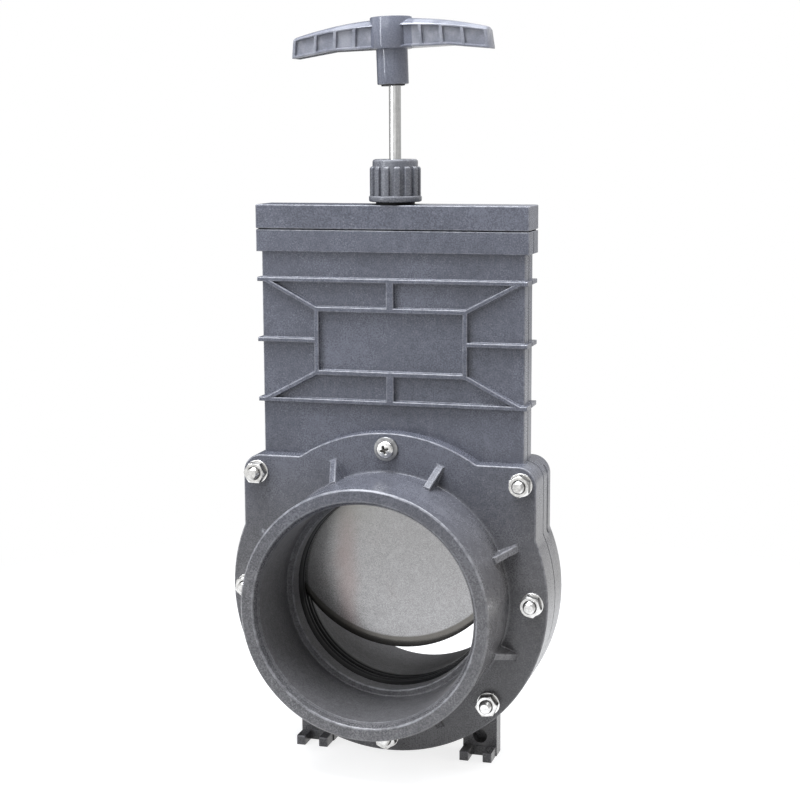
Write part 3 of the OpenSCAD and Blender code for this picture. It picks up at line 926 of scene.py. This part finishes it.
@dataclass
class Studio:
    """Camera, floor, world and lamps."""

    eye: Vector = field(default_factory=lambda: Vector((0.242471, -0.840610, 0.323848)))
    ahead: Vector = field(default_factory=lambda: Vector((-0.271606, 0.949882, -0.154775)))
    across: Vector = field(default_factory=lambda: Vector((0.961500, 0.274789, -0.002981)))
    target: Vector = field(default_factory=lambda: Vector((0.0, 0.0, 0.18)))
    lens: float = 77.33
    sensor: float = 36.0
    clip: Point = (0.01, 50.0)
    floor_size: float = 6.0
    floor_colour: Colour = (0.42, 0.42, 0.42)
    floor_lift: float = 0.80
    paper_start: float = 0.20
    paper_end: float = 0.50
    ambient: float = 0.11
    white: float = 1.0
    flag_distance: float = 1.6
    flag_height: float = 1.8
    flag_steps: int = 24
    cool: Colour = (0.95, 0.98, 1.04)
    warm: Colour = (1.03, 1.00, 0.96)
    roll: float = 0.0015

    def build(self) -> None:
        """Builds the studio."""
        self._camera()
        self._world()
        self._floor()
        self._flag("side_flag", 26.0, 195.0, 0.60)
        self._flag("back_flag", 195.0, 250.0, 0.06)
        self._lamp("top_softbox", (-0.22, -0.32, 1.22), (0.6, 0.6), 18.0, self.cool)
        self._lamp("back_softbox", (0.45, 0.10, 1.20), (0.6, 0.6), 10.5, self.cool)
        self._lamp("left_softbox", (-0.45, -1.15, 1.00), (1.1, 0.9), 6.5, self.cool)
        self._lamp("left_strip", (-0.93, -0.91, 0.45), (0.12, 1.1), 5.0, self.cool)
        self._lamp("right_softbox", (1.30, 0.25, 0.45), (0.7, 0.9), 5.5, self.warm, mirrored=False)
        self._lamp("low_softbox", (1.00, -0.05, 0.06), (0.6, 0.3), 2.0, self.warm, mirrored=False)

    def _camera(self) -> None:
        """Places the camera."""
        data = bpy.data.cameras.new("camera")
        data.lens = self.lens
        data.sensor_width = self.sensor
        data.clip_start, data.clip_end = self.clip
        camera = bpy.data.objects.new("camera", data)
        ahead = self.ahead.normalized()
        level = self.across.normalized()
        across = (level - self.roll * level.cross(ahead)).normalized()
        up = across.cross(ahead).normalized()
        turn = Matrix((across, up, -ahead)).transposed()
        camera.matrix_world = Matrix.Translation(self.eye) @ turn.to_4x4()
        bpy.context.scene.collection.objects.link(camera)
        bpy.context.scene.camera = camera

    @staticmethod
    def _seen(sheet: ShaderSheet) -> Signal:
        """1 for what the camera, a mirror or a lens sees, 0 for light that falls on a surface.

        Args:
            sheet: the tree to add to.

        Returns:
            The mask.
        """
        path = sheet.add("ShaderNodeLightPath").outputs
        camera, glossy, through = (
            Signal(sheet, path[name]) for name in ("Is Camera Ray", "Is Glossy Ray", "Is Transmission Ray")
        )
        return (camera + glossy + through).kept()

    def _world(self) -> None:
        """Lights the object evenly and shows white behind it."""
        sheet = ShaderSheet("studio_world", world=True)
        grey = (self.white, self.white, self.white, 1.0)
        soft = sheet.add("ShaderNodeBackground", None, {"Color": grey, "Strength": self.ambient})
        plain = sheet.add("ShaderNodeBackground", None, {"Color": grey, "Strength": 1.0})
        mixed = sheet.add(
            "ShaderNodeMixShader",
            None,
            {0: self._seen(sheet), 1: soft.outputs[0], 2: plain.outputs[0]},
        )
        sheet.add("ShaderNodeOutputWorld", None, {"Surface": mixed.outputs[0]})
        bpy.context.scene.world = sheet.block

    def _floor(self) -> None:
        """Lays white paper that keeps the object's shadow near it and is plain white further out."""
        mesh = bmesh.new()
        bmesh.ops.create_grid(mesh, x_segments=2, y_segments=2, size=self.floor_size / 2)
        sheet = ShaderSheet("studio_paper")
        distance = sheet.add("ShaderNodeVectorMath", {"operation": "LENGTH"}, {0: sheet.place()})
        far = Signal(sheet, distance.outputs["Value"]).step(self.paper_start, self.paper_end)
        paper = sheet.add("ShaderNodeBsdfDiffuse", None, {"Color": (*self.floor_colour, 1.0)})
        lift = sheet.add("ShaderNodeEmission", None, {"Strength": self.floor_lift})
        lifted = sheet.add("ShaderNodeAddShader", None, {0: paper.outputs[0], 1: lift.outputs[0]})
        near = sheet.add(
            "ShaderNodeMixShader", None, {0: self._seen(sheet), 1: paper.outputs[0], 2: lifted.outputs[0]}
        )
        plain = sheet.add("ShaderNodeEmission", None, {"Strength": self.white})
        whole = sheet.add(
            "ShaderNodeMixShader", None, {0: far * self._seen(sheet), 1: near.outputs[0], 2: plain.outputs[0]}
        )
        sheet.add("ShaderNodeOutputMaterial", None, {"Surface": whole.outputs[0]})
        floor = piece_of(mesh, "floor", sheet.block)

    def _flag(self, name: str, start: float, end: float, strength: float) -> None:
        """Stands a curved flag round the object that only reflections see, as the room past the sweep.

        Args:
            name: its name.
            start: the angle from the front at which it starts, to the right, in degrees.
            end: the angle at which it ends.
            strength: how bright it is.
        """
        mesh = bmesh.new()
        columns = []
        for i in range(self.flag_steps + 1):
            angle = math.radians(start + (end - start) * i / self.flag_steps)
            foot = Vector((math.sin(angle), -math.cos(angle), 0.0)) * self.flag_distance
            top = foot + Vector((0.0, 0.0, self.flag_height))
            columns.append([mesh.verts.new(foot), mesh.verts.new(top)])
        for left, right in zip(columns, columns[1:]):
            mesh.faces.new((left[0], right[0], right[1], left[1]))
        sheet = ShaderSheet(name)
        cloth = sheet.add("ShaderNodeEmission", None, {"Strength": strength})
        sheet.add("ShaderNodeOutputMaterial", None, {"Surface": cloth.outputs[0]})
        flag = piece_of(mesh, name, sheet.block)
        flag.visible_camera = False
        flag.visible_diffuse = False
        flag.visible_shadow = False

    def _lamp(
        self, name: str, place: Triple, size: Point, watts: float, colour: Colour, mirrored: bool = True
    ) -> None:
        """Hangs one softbox that points at the target.

        Args:
            name: its name.
            place: where it hangs.
            size: its width and height.
            watts: its power.
            colour: the colour of its light.
            mirrored: whether reflections show it.
        """
        data = bpy.data.lights.new(name, "AREA")
        data.shape = "RECTANGLE"
        data.size, data.size_y = size
        data.energy = watts
        data.color = colour
        lamp = bpy.data.objects.new(name, data)
        lamp.location = place
        lamp.rotation_euler = (self.target - Vector(place)).to_track_quat("-Z", "Y").to_euler()
        lamp.visible_glossy = mirrored
        bpy.context.scene.collection.objects.link(lamp)


@dataclass
class Housing:
    """The two housing halves, the cap and its gasket."""

    finishes: FinishSet
    seam_zone: float = 1.2 * MM
    seam_round: float = 0.12 * MM
    rib_round: float = 0.55 * MM
    hidden_zone: float = 8.0 * MM
    hidden_round: float = 0.2 * MM
    joint_zone: float = 9.0 * MM
    joint_round: float = 0.07 * MM
    ear_top: float = 159.0 * MM
    cap_round: float = 0.6 * MM
    gasket_round: float = 0.12 * MM

    def build(self) -> None:
        """Builds the housing."""
        for node in ("front_body_half", "rear_body_half"):
            rounded_copy(node, Body.HOUSING, Slot.PVC, self.finishes.pvc, self._half_radius)
        rounded_copy("top_cap", Body.HOUSING, Slot.PVC, self.finishes.pvc, self.cap_round)
        rounded_copy("cap_gasket", Body.HOUSING, Slot.RUBBER, self.finishes.rubber, self.gasket_round)

    def _half_radius(self, place: Vector, way: Vector) -> float:
        """The rounding of an edge of a housing half.

        Args:
            place: the middle of the edge.
            way: its direction.

        Returns:
            The radius.
        """
        away = abs(place.y)
        if away < self.seam_zone:
            return self.seam_round
        if away < self.hidden_zone:
            return self.hidden_round
        if place.z < self.ear_top and away < self.joint_zone:
            return self.joint_round
        return self.rib_round


@dataclass
class Sockets:
    """The two flanges with their pipe sockets and gussets."""

    finishes: FinishSet
    edge_round: float = 0.75 * MM
    crest_round: float = 0.8 * MM
    hole_round: float = 0.25 * MM
    joint_zone: float = 9.5 * MM
    joint_round: float = 0.07 * MM
    axis: float = 88.8 * MM
    gusset_span: Point = (18.8 * MM, 40 * MM)
    gusset_out: float = 60 * MM
    slant_span: Point = (0.3, 0.95)
    bore_span: Point = (30 * MM, 61.0 * MM)

    def build(self) -> None:
        """Builds both flanges."""
        for node in ("front_socket_flange", "rear_socket_flange"):
            rounded_copy(node, Body.HOUSING, Slot.PVC, self.finishes.pvc, self._radius)

    def _radius(self, place: Vector, way: Vector) -> float:
        """The rounding of an edge of a flange.

        Args:
            place: the middle of the edge.
            way: its direction.

        Returns:
            The radius.
        """
        away, out = abs(place.y), math.hypot(place.x, place.z - self.axis)
        if away < self.joint_zone:
            return self.joint_round
        if self.gusset_span[0] < away < self.gusset_span[1] and out > self.gusset_out:
            slanted = self.slant_span[0] < abs(way.y) < self.slant_span[1]
            return self.crest_round if slanted else self.hole_round
        if self.bore_span[0] < away < self.bore_span[1]:
            return self.hole_round
        return self.edge_round


@dataclass
class GateSet:
    """The steel gate with its block, rivets, rod and pin, and the two seals."""

    finishes: FinishSet
    steel_round: float = 0.15 * MM
    lip_round: float = 0.12 * MM

    def build(self) -> None:
        """Builds the gate set."""
        looks = self.finishes
        for node in ("front_gate_seal", "rear_gate_seal"):
            rounded_copy(node, Body.HOUSING, Slot.RUBBER, looks.rubber, self.lip_round, 2)
        steel = {
            "gate_plate": (Slot.SHEET, looks.sheet),
            "rod_block": (Slot.SHEET, looks.sheet),
            "block_rivets": (Slot.ZINC, looks.zinc),
            "lift_rod": (Slot.ROD, looks.rod),
            "rod_pin": (Slot.ZINC, looks.zinc),
        }
        for node, (slot, finish) in steel.items():
            rounded_copy(node, Body.GATE, slot, finish, self.steel_round, 2)


@dataclass
class Gland:
    """The lobed gland nut over its follower and packing rings."""

    finishes: FinishSet
    nut_z: float = 288.5 * MM
    nut_h: float = 21.3 * MM
    ring_r: float = 13.4 * MM
    core_r: float = 11.5 * MM
    lobe_r: float = 12.9 * MM
    lobe_w: float = 3.1 * MM
    lobes: int = 14
    lobe_turn: float = math.radians(7.0)
    neck_r: float = 10 * MM
    roof: float = 15.6 * MM
    hole_r: float = 3.5 * MM
    soft: float = 0.45 * MM
    bar_foot: float = 1.2 * MM
    bar_levels: Tuple[Point, ...] = ((2.6, 0.0), (16.2, 0.0), (16.9, 0.12), (17.4, 0.40), (17.7, 0.85))
    turn_steps: int = 112
    follower_round: float = 0.2 * MM
    packing_round: float = 0.3 * MM
    neck_ring_round: float = 0.25 * MM

    def build(self) -> None:
        """Builds the gland."""
        self._nut()
        looks, plastic = self.finishes, Slot.BLACK_PLASTIC
        rounded_copy("gland_follower", Body.FOLLOWER, plastic, looks.black_plastic, self.follower_round)
        rounded_copy("gland_packing", Body.HOUSING, Slot.PACKING, looks.packing, self.packing_round)
        rounded_copy("neck_ring", Body.HOUSING, Slot.RUBBER, looks.rubber, self.neck_ring_round)

    def _nut(self) -> None:
        """Builds the gland nut: a turned core over a ring, and bars round it."""
        mesh = bmesh.new()
        place = Matrix.Translation((0.0, 0.0, self.nut_z))
        core, ring, top = self.core_r, self.ring_r, self.nut_h
        profile = [
            (self.neck_r, 0.0),
            (ring - 0.9 * MM, 0.0),
            (ring - 0.25 * MM, 0.25 * MM),
            (ring, 0.9 * MM),
            (ring, 2.3 * MM),
            (ring - 0.15 * MM, 2.75 * MM),
            (ring - 0.5 * MM, 3.0 * MM),
            (core, 3.15 * MM),
            (core, top - 1.3 * MM),
            (core - 0.25 * MM, top - 0.55 * MM),
            (core - 0.8 * MM, top - 0.12 * MM),
            (core - 1.4 * MM, top),
            (self.hole_r + 0.3 * MM, top),
            (self.hole_r, top - 0.3 * MM),
            (self.hole_r, self.roof),
            (self.neck_r, self.roof),
        ]
        turned(mesh, profile, place, self.turn_steps, closed=True)
        bar = self._bar()
        for i in range(self.lobes):
            angle = math.radians(270) + self.lobe_turn + math.tau * (i + 0.5) / self.lobes
            ring_strip(mesh, bar, place @ Matrix.Rotation(angle, 4, "Z"))
        nut = piece_of(mesh, "gland_nut_barred", self.finishes.nut_plastic, smooth=32.0)
        # Faces that slope upward are marked by how much they face up: a painted highlight.
        marked(nut, lambda middle, way: way.z if 0.2 < way.z < 0.97 else 0.0)
        dress(nut, Body.NUT, Slot.HANDLE, "gland_nut")

    def _bar(self) -> List[List[Vector]]:
        """The level rings of one bar, from its foot to its top.

        Each bar level is a height and the distance by which the bar draws in there, in millimetres.

        Returns:
            The rings.
        """
        rings = []
        for height, pull in self.bar_levels:
            half, reach = self.lobe_w / 2 - pull * 0.5 * MM, self.lobe_r - pull * MM
            ring = [(self.core_r - self.bar_foot, -half), (reach - self.soft, -half)]
            for step in (1, 2, 3):
                turn = math.pi / 2 * step / 3
                aside = half - self.soft * (1 - math.cos(turn))
                ring.append((reach - self.soft * (1 - math.sin(turn)), -aside))
            ring += [(x, -y) for x, y in reversed(ring)]
            rings.append([Vector((x, y, height * MM)) for x, y in ring])
        return rings


@dataclass
class Handle:
    """The T-handle and the lock nut under its boss. Heights count from the bottom of the boss."""

    finishes: FinishSet
    foot: Vector = field(default_factory=lambda: Vector((-0.9, 0.0, 346.9)) * MM)
    lean: float = math.radians(1.9)
    turn: float = math.radians(3.5)
    boss_h: float = 17.6 * MM
    boss_r: float = 7.9 * MM
    pocket_r: float = 6.55 * MM
    pocket_h: float = 4.25 * MM
    core_r: float = 0.05 * MM
    hub_r: float = 10.5 * MM
    hub_top: float = 33.0 * MM
    tip_x: float = 52.2 * MM
    tip_in: float = 2.2 * MM
    kink_x: float = 31.4 * MM
    tip_drop: float = 2.7 * MM
    crown_top: float = 32.2 * MM
    arc_r: float = 210.0 * MM
    crown_r: float = 10.3 * MM
    tip_y: float = 5.3 * MM
    root_y: float = 7.6 * MM
    web_y: float = 3.2 * MM
    cell_depth: float = 1.5 * MM
    frame_w: float = 1.0 * MM
    end_w: float = 1.6 * MM
    cell_arc_r: float = 273.0 * MM
    cell_top: float = 28.5 * MM
    ribs: Tuple[float, ...] = (17.7 * MM, 28.6 * MM, 39.5 * MM)
    rib_w: float = 1.5 * MM
    wall: float = 0.5 * MM
    soft: float = 0.45 * MM
    end_round: float = 0.5 * MM
    crown_ease: float = 0.3 * MM
    crown_pull: float = 0.12 * MM
    fine_step: float = 0.15 * MM
    least_step: float = 0.04 * MM
    turn_steps: int = 96
    lock_nut_round: float = 0.2 * MM

    def build(self) -> None:
        """Builds the handle."""
        mesh = bmesh.new()
        place = Matrix.Translation(self.foot) @ Matrix.Rotation(-self.turn, 4, "Z")
        place = place @ Matrix.Rotation(-self.lean, 4, "Y")
        ring_strip(mesh, [self._section(x) for x in self._stations()], place)
        turned(mesh, self._hub_profile(), place, self.turn_steps)
        turned(mesh, self._boss_profile(), place, self.turn_steps)
        handle = piece_of(mesh, "t_handle", self.finishes.handle, smooth=40.0)
        # The wings are marked for a painted sheen.
        marked(handle, self._painted_sheen)
        dress(handle, Body.GATE, Slot.HANDLE, "handle")
        steel = self.finishes.black_steel
        rounded_copy("handle_lock_nut", Body.GATE, Slot.BLACK_STEEL, steel, self.lock_nut_round)

    def _painted_sheen(self, middle: Vector, way: Vector) -> float:
        """How much painted sheen a face gets: pale blotches over the wings that stand in for their glossy
        highlights.
            way: its direction.

        Returns:
            The share, from 0 to 1.
        """
        if abs(middle.x) < self.hub_r + 0.3 * MM:
            return 0.0
        return 0.45 if way.z > 0.45 else 0.60

    def _hub_profile(self) -> List[Point]:
        """The outline of the hub, from its underside to its top.

        Returns:
            Its (radius, height) points.
        """
        low, high, soft = self.boss_h - 0.3 * MM, self.hub_top, self.soft
        foot = eased(self.hub_r, low, -soft, soft)[::-1]
        return [(self.core_r, low), *foot, *eased(self.hub_r, high, -soft, -soft), (self.core_r, high)]

    def _boss_profile(self) -> List[Point]:
        """The outline of the boss, from the floor of its nut pocket round to inside the hub.

        Returns:
            Its (radius, height) points.
        """
        return [
            (self.core_r, self.pocket_h),
            (self.pocket_r, self.pocket_h),
            (self.pocket_r, 0.3 * MM),
            (self.pocket_r + 0.2 * MM, 0.0),
            *eased(self.boss_r, 0.0, -self.soft, self.soft)[::-1],
            (self.boss_r, self.boss_h),
            (self.core_r, self.boss_h),
        ]

    def _stations(self) -> List[float]:
        """The sideways places of the sections: close together at the walls of the recesses.

        Returns:
            The places from the left tip to the right one.
        """
        walls = [w for r in self.ribs for w in (r - self.rib_w / 2, r + self.rib_w / 2)]
        walls.append(self.tip_x - self.end_w)
        places = {0.0, self.kink_x, self.tip_x, self.tip_x - self.fine_step, self.tip_x - 0.4 * MM}
        places.update(i * MM for i in range(1, 52))
        for wall in walls:
            places.update(wall + self.fine_step * i for i in range(-6, 9))
        kept: List[float] = []
        for p in sorted(p for p in places if 0.0 < p <= self.tip_x):
            if not kept or p - kept[-1] > self.least_step:
                kept.append(p)
        return [-p for p in reversed(kept)] + [0.0] + kept

    def _section(self, x: float) -> List[Vector]:
        """One ring of points round a wing.

        Args:
            x: the sideways place of the ring at the lower edge.

        Returns:
            The points, from the middle of the underside up the front, over the top and down the back.
        """
        away = abs(x)
        close = min(1.0, max(0.0, (self.tip_x - away) / self.end_round))
        shrink = self.soft * (1.0 - math.sqrt(1.0 - (1.0 - close) ** 2))
        share = max(0.0, away - self.hub_r) / (self.tip_x - self.hub_r)
        half = self.root_y + (self.tip_y - self.root_y) * share - shrink
        low = self.boss_h - self.tip_drop * max(0.0, away - self.kink_x) / (self.tip_x - self.kink_x)
        edge = self._crown(x, half) - self.crown_ease - shrink
        base = low + shrink
        cell_low, cell_high = low + self.frame_w, self._cell_top(x)
        side = [(0.0, base), (half * 0.5, base)]
        for i in range(5):
            angle = math.pi / 2 * i / 4
            side.append((half - self.soft * (1 - math.sin(angle)), base + self.soft * (1 - math.cos(angle))))
        start = base + self.soft
        for height in self._heights(start, cell_low, cell_high):
            height = min(max(height, start), edge)
            depth = min(half - self.web_y, self.cell_depth) * self._recess(x, height, cell_low, cell_high)
            side.append((half - depth, height))
        for i in range(4):
            side.append((half - self.crown_pull * i * i / 9, edge + self.crown_ease * i / 3))
        for i in range(1, 11):
            y = half * (1 - i / 10) * 0.985
            side.append((y, self._crown(x, y) - shrink))
        points = []
        rise = self.hub_top - self.boss_h + self.tip_drop
        for sign, half_ring in ((-1.0, side), (1.0, list(reversed(side))[1:-1])):
            for y, z in half_ring:
                slant = self.tip_in * (z - self.boss_h + self.tip_drop) / rise
                points.append(Vector((x * (1.0 - slant / self.tip_x), sign * y, z)))
        return points

    def _heights(self, start: float, low: float, high: float) -> List[float]:
        """The heights of the points up the side of a wing, close together at the walls of a recess.

        Args:
            start: height at which the side starts.
            low: height of the lower wall of the recess.
            high: height of its upper wall.

        Returns:
            The heights.
        """
        inner_low, inner_high = low + self.wall * 1.3, high - self.wall * 1.3
        heights = [start + (low - start) * 0.5]
        heights += [low + self.wall * (i / 6 - 0.3) for i in range(10)]
        heights += [inner_low + (inner_high - inner_low) * i / 8 for i in range(1, 8)]
        heights += [high - self.wall * (i / 6 - 0.3) for i in range(9, -1, -1)]
        return heights

    def _crown(self, x: float, y: float) -> float:
        """Height of the curved top of a wing.

        Args:
            x: sideways place.
            y: distance from the middle of the thickness.

        Returns:
            The height.
        """
        reach = self.arc_r - self.crown_r + math.sqrt(self.crown_r**2 - y * y)
        return self.crown_top - self.arc_r + math.sqrt(reach * reach - x * x)

    def _cell_top(self, x: float) -> float:
        """Height of the top of the recesses at a sideways place."""
        return self.cell_top - self.cell_arc_r + math.sqrt(self.cell_arc_r**2 - x * x)

    def _recess(self, x: float, height: float, low: float, high: float) -> float:
        """How deep a recess is, from 0 on the frame and the grip ribs to 1 on its floor.

        Args:
            x: sideways place.
            height: height of the point.
            low: height of the lower wall.
            high: height of the upper wall.

        Returns:
            The share of the depth.
        """
        away = abs(x)
        inside = [height - low, high - height, self.tip_x - self.end_w - away]
        inside += [abs(away - rib) - self.rib_w / 2 for rib in self.ribs]
        rate = 4.0 / MM
        soft_least = -math.log(sum(math.exp(-rate * min(d, 20 * MM)) for d in inside)) / rate
        share = min(1.0, max(0.0, soft_least / self.wall + 0.15))
        return share * share * (3.0 - 2.0 * share)


@dataclass
class Fasteners:
    """Hex bolts, nuts and washers through the flanges, and the two short top screws."""

    finishes: FinishSet
    thread_pitch: float = 1.0 * MM
    thread_depth: float = 0.42 * MM
    thread_steps: int = 8
    thread_chamfer: float = 0.75 * MM
    shank_play: float = 0.2 * MM
    round_count: int = 48
    washer_count: int = 80
    hex_count: int = 96
    hex_crown: float = 0.97
    hex_chamfer: float = math.radians(30)
    nut_lead: float = 0.55 * MM
    washer_round: float = 0.22 * MM
    top_washer_spread: float = 0.6 * MM
    head_h: float = 3.3 * MM
    head_round: float = 1.7 * MM
    head_side_rings: int = 8
    head_rings: int = 26
    screw_r: float = 2.4 * MM
    recess_turn: float = math.radians(20)
    recess_reach: float = 2.5 * MM
    recess_half: float = 0.5 * MM
    recess_wall: float = 0.22 * MM
    recess_depth: float = 2.0 * MM

    def build(self) -> None:
        """Builds every fastener."""
        nuts = solids("flange_nuts")
        self._bolts(nuts)
        self._nuts(nuts)
        for node in ("front_washers", "rear_washers"):
            self._washers(node, self.finishes.zinc, 0.0)
        for node in ("front_top_washer", "rear_top_washer"):
            self._washers(node, self.finishes.dull_zinc, self.top_washer_spread)
        for node in ("front_top_screw", "rear_top_screw"):
            self._top_screw(node)

    def _hex_rings(self, flats: float, hole: float, thick: float, turn: float) -> List[List[Vector]]:
        """The rings of a hexagon whose corners are cut by a cone on both faces.

        Args:
            flats: distance across the flats.
            hole: radius of the hole, or 0 for none.
            thick: height of the upper face over the lower one.
            turn: angle of a corner in radians.

        Returns:
            The rings from the lower face to the upper one.
        """
        crown = flats / 2 * self.hex_crown
        angles = [turn + math.tau * i / self.hex_count for i in range(self.hex_count)]
        reach = [flats / 2 / math.cos((a - turn) % (math.pi / 3) - math.pi / 6) for a in angles]
        drop = [max(0.0, r - crown) * math.tan(self.hex_chamfer) for r in reach]

        def level(radius: float, height: float) -> List[Vector]:
            """A round ring at one height."""
            return [Vector((radius * math.cos(a), radius * math.sin(a), height)) for a in angles]

        def outline(side: int, base: float) -> List[Vector]:
            """The edge of the hexagon, drawn back from a face where the cone cuts it."""
            return [
                Vector((r * math.cos(a), r * math.sin(a), base + side * d))
                for a, r, d in zip(angles, reach, drop)
            ]

        rings = [level(crown, 0.0), outline(1, 0.0), outline(-1, thick), level(crown, thick)]
        if hole:
            lead = self.nut_lead
            rings = [level(hole, lead), level(hole + lead, 0.0)] + rings
            rings += [level(hole + lead, thick), level(hole, thick - lead)]
        return rings

    def _nuts(self, nuts: Sequence[Sequence[Vector]]) -> None:
        """Builds the seven nuts.

        Args:
            nuts: the points of each nut of the frame.
        """
        mesh = bmesh.new()
        for points in nuts:
            low, high, middle = low_of(points), high_of(points), centre_of(points)
            place = facing(middle.x, high.y, middle.z, front=True)
            flats, turn = self._hex_of(points)
            hole = min(reach_of(p, middle) for p in points)
            ring_strip(mesh, self._hex_rings(flats, hole, high.y - low.y, turn), place, closed=True)
        piece = piece_of(mesh, "hex_nuts", self.finishes.zinc, smooth=18.0)
        # Side and chamfer faces of the nuts are marked for painted shade.
        marked(piece, lambda middle, way: 0.8 if abs(way.y) < 0.5 else float(abs(way.y) < 0.8))
        dress(piece, Body.HOUSING, Slot.ZINC, "flange_nuts")

    @staticmethod
    def _hex_of(points: Sequence[Vector]) -> Tuple[float, float]:
        """Measures a hexagon of the frame.

        Args:
            points: its points.

        Returns:
            The distance across its flats and the angle of a corner in radians.
        """
        middle = centre_of(points)
        corner = max(points, key=lambda p: (p.x - middle.x) ** 2 + (p.z - middle.z) ** 2)
        turn = math.atan2(corner.z - middle.z, corner.x - middle.x)
        return reach_of(corner, middle) * math.sqrt(3.0), turn

    def _bolts(self, nuts: Sequence[Sequence[Vector]]) -> None:
        """Builds the seven bolts: a head, a plain shank and a threaded end.

        Args:
            nuts: the points of each nut of the frame.
        """
        mesh = bmesh.new()
        for points, nut in zip(solids("flange_bolts"), nuts):
            middle = centre_of(nut)
            low, high = low_of(points), high_of(points)
            radius = min(reach_of(p, middle) for p in points if abs(p.y - low.y) < 0.01 * MM)
            head = [p for p in points if reach_of(p, middle) > radius + 1.0 * MM]
            flats, turn = self._hex_of(head)
            seat = low_of(head).y
            back = facing(middle.x, seat, middle.z, front=False)
            ring_strip(mesh, self._hex_rings(flats, 0.0, high.y - seat, -turn), back)
            start = high_of(nut).y
            front = facing(middle.x, start, middle.z, front=True)
            core = radius - self.shank_play
            turned(mesh, [(core, start - seat - 0.5 * MM), (core, 0.6 * MM)], front, self.round_count)
            self._thread(mesh, radius, start - low.y, front)
        piece = piece_of(mesh, "hex_bolts", self.finishes.zinc, smooth=24.0)
        # Side faces of the bolts are marked for painted shade.
        marked(piece, lambda middle, way: 0.65 if abs(way.y) < 0.6 else 0.0)
        dress(piece, Body.HOUSING, Slot.ZINC, "flange_bolts")

    def _thread(self, mesh: bmesh.types.BMesh, radius: float, length: float, place: Matrix) -> None:
        """Adds a threaded rod end with a chamfered tip.

        Args:
            mesh: the mesh to add to.
            radius: radius over the crests.
            length: height of the tip.
            place: where it goes.
        """
        step = self.thread_pitch / self.thread_steps
        heights = [step * i for i in range(int(length / step) + 1)]
        if length - heights[-1] > 0.2 * step:
            heights.append(length)
        rings = []
        for height in heights:
            ring = []
            for i in range(self.round_count):
                angle = math.tau * i / self.round_count
                phase = (height / self.thread_pitch - i / self.round_count) % 1.0
                crest = min(1.0, max(0.0, 1.35 - abs(phase - 0.5) * 2.7))
                reach = radius - self.thread_depth * (1.0 - crest)
                reach = min(reach, radius - self.thread_chamfer + (length - height))
                ring.append(Vector((reach * math.cos(angle), reach * math.sin(angle), height)))
            rings.append(ring)
        ring_strip(mesh, rings, place)

    def _washers(self, node: str, finish: bpy.types.Material, spread: float) -> None:
        """Builds the washers of one frame node, their rims softened by the stamping.

        Args:
            node: the node's name.
            finish: the material.
            spread: how far the rim stands out past the frame's washer.
        """
        mesh = bmesh.new()
        soft = self.washer_round
        for points in solids(node):
            middle, low, high = centre_of(points), low_of(points), high_of(points)
            reach = [reach_of(p, middle) for p in points]
            inner, outer, thick = min(reach), max(reach) + spread, high.y - low.y
            profile = eased(inner, 0.0, soft, soft) + eased(outer, 0.0, -soft, soft)[::-1]
            profile += eased(outer, thick, -soft, -soft) + eased(inner, thick, soft, -soft)[::-1]
            place = facing(middle.x, high.y, middle.z, front=True)
            turned(mesh, profile, place, self.washer_count, closed=True)
        piece = piece_of(mesh, node + "_stamped", finish, smooth=50.0)
        dress(piece, Body.HOUSING, Slot.ZINC, node)

    def _top_screw(self, node: str) -> None:
        """Builds a pan-head screw with a cross recess.

        Args:
            node: the node's name.
        """
        points = solids(node)[0]
        low, high, middle = low_of(points), high_of(points), centre_of(points)
        front = middle.y < 0
        outer = (high.x - low.x) / 2
        tip = high.y if front else low.y
        crown = low.y if front else high.y
        head, soft, sides = self.head_h, self.head_round, self.head_side_rings
        place = facing(middle.x, crown + (head if front else -head), middle.z, front)
        mesh = bmesh.new()
        rings = [round_ring(outer * 0.98, 0.0, self.hex_count)]
        for i in range(1, self.head_rings + 1):
            if i <= sides:
                angle = math.pi / 2 * (i / sides)
                reach = outer - soft * (1 - math.cos(angle))
                rise = head * 0.35 + head * 0.50 * math.sin(angle)
            else:
                share = (i - sides) / (self.head_rings - sides)
                reach = (outer - soft) * (1 - share)
                rise = head * (0.85 + 0.15 * (1 - (1 - share) ** 2))
            ring = []
            for point in round_ring(max(reach, 0.04 * MM), rise, self.hex_count):
                ring.append(Vector((point.x, point.y, rise - self._recess(point.x, point.y))))
            rings.append(ring)
        ring_strip(mesh, rings, place)
        shank = [(self.screw_r, -abs(crown - tip) + head), (self.screw_r, 0.5 * MM)]
        turned(mesh, shank, place, self.round_count)
        piece = piece_of(mesh, node + "_cross_head", self.finishes.zinc, smooth=40.0)
        away = place.inverted()
        # The cross recess is marked for painted shade.
        marked(piece, lambda middle, way: float(self._recess(*(away @ middle).xy) > 0.25 * MM))
        dress(piece, Body.HOUSING, Slot.ZINC, node)

    def _recess(self, x: float, y: float) -> float:
        """Depth of the cross recess at a place on the head.

        Args:
            x: sideways place from the middle of the head.
            y: upward place from the middle of the head.

        Returns:
            The depth.
        """
        along = x * math.cos(self.recess_turn) + y * math.sin(self.recess_turn)
        aside = y * math.cos(self.recess_turn) - x * math.sin(self.recess_turn)
        deepest = 0.0
        for length, width in ((abs(along), abs(aside)), (abs(aside), abs(along))):
            slope = max(0.0, 1.0 - length / self.recess_reach)
            wall = min(1.0, max(0.0, (self.recess_half - width) / self.recess_wall + 0.5))
            deepest = max(deepest, min(1.0, slope * 2.2) * wall * self.recess_depth * (0.45 + 0.55 * slope))
        return deepest


def main() -> None:
    """Builds the scene."""
    logging.basicConfig(level=logging.INFO, format="%(name)s: %(message)s")
    bpy.context.scene.view_settings.view_transform = "Standard"
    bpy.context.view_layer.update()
    finishes = FinishSet.make()
    Studio().build()
    for part in (Housing, Sockets, GateSet, Gland, Handle, Fasteners):
        part(finishes).build()
        LOG.info("%s built", part.__name__)


if __name__ == "__main__":
    main()
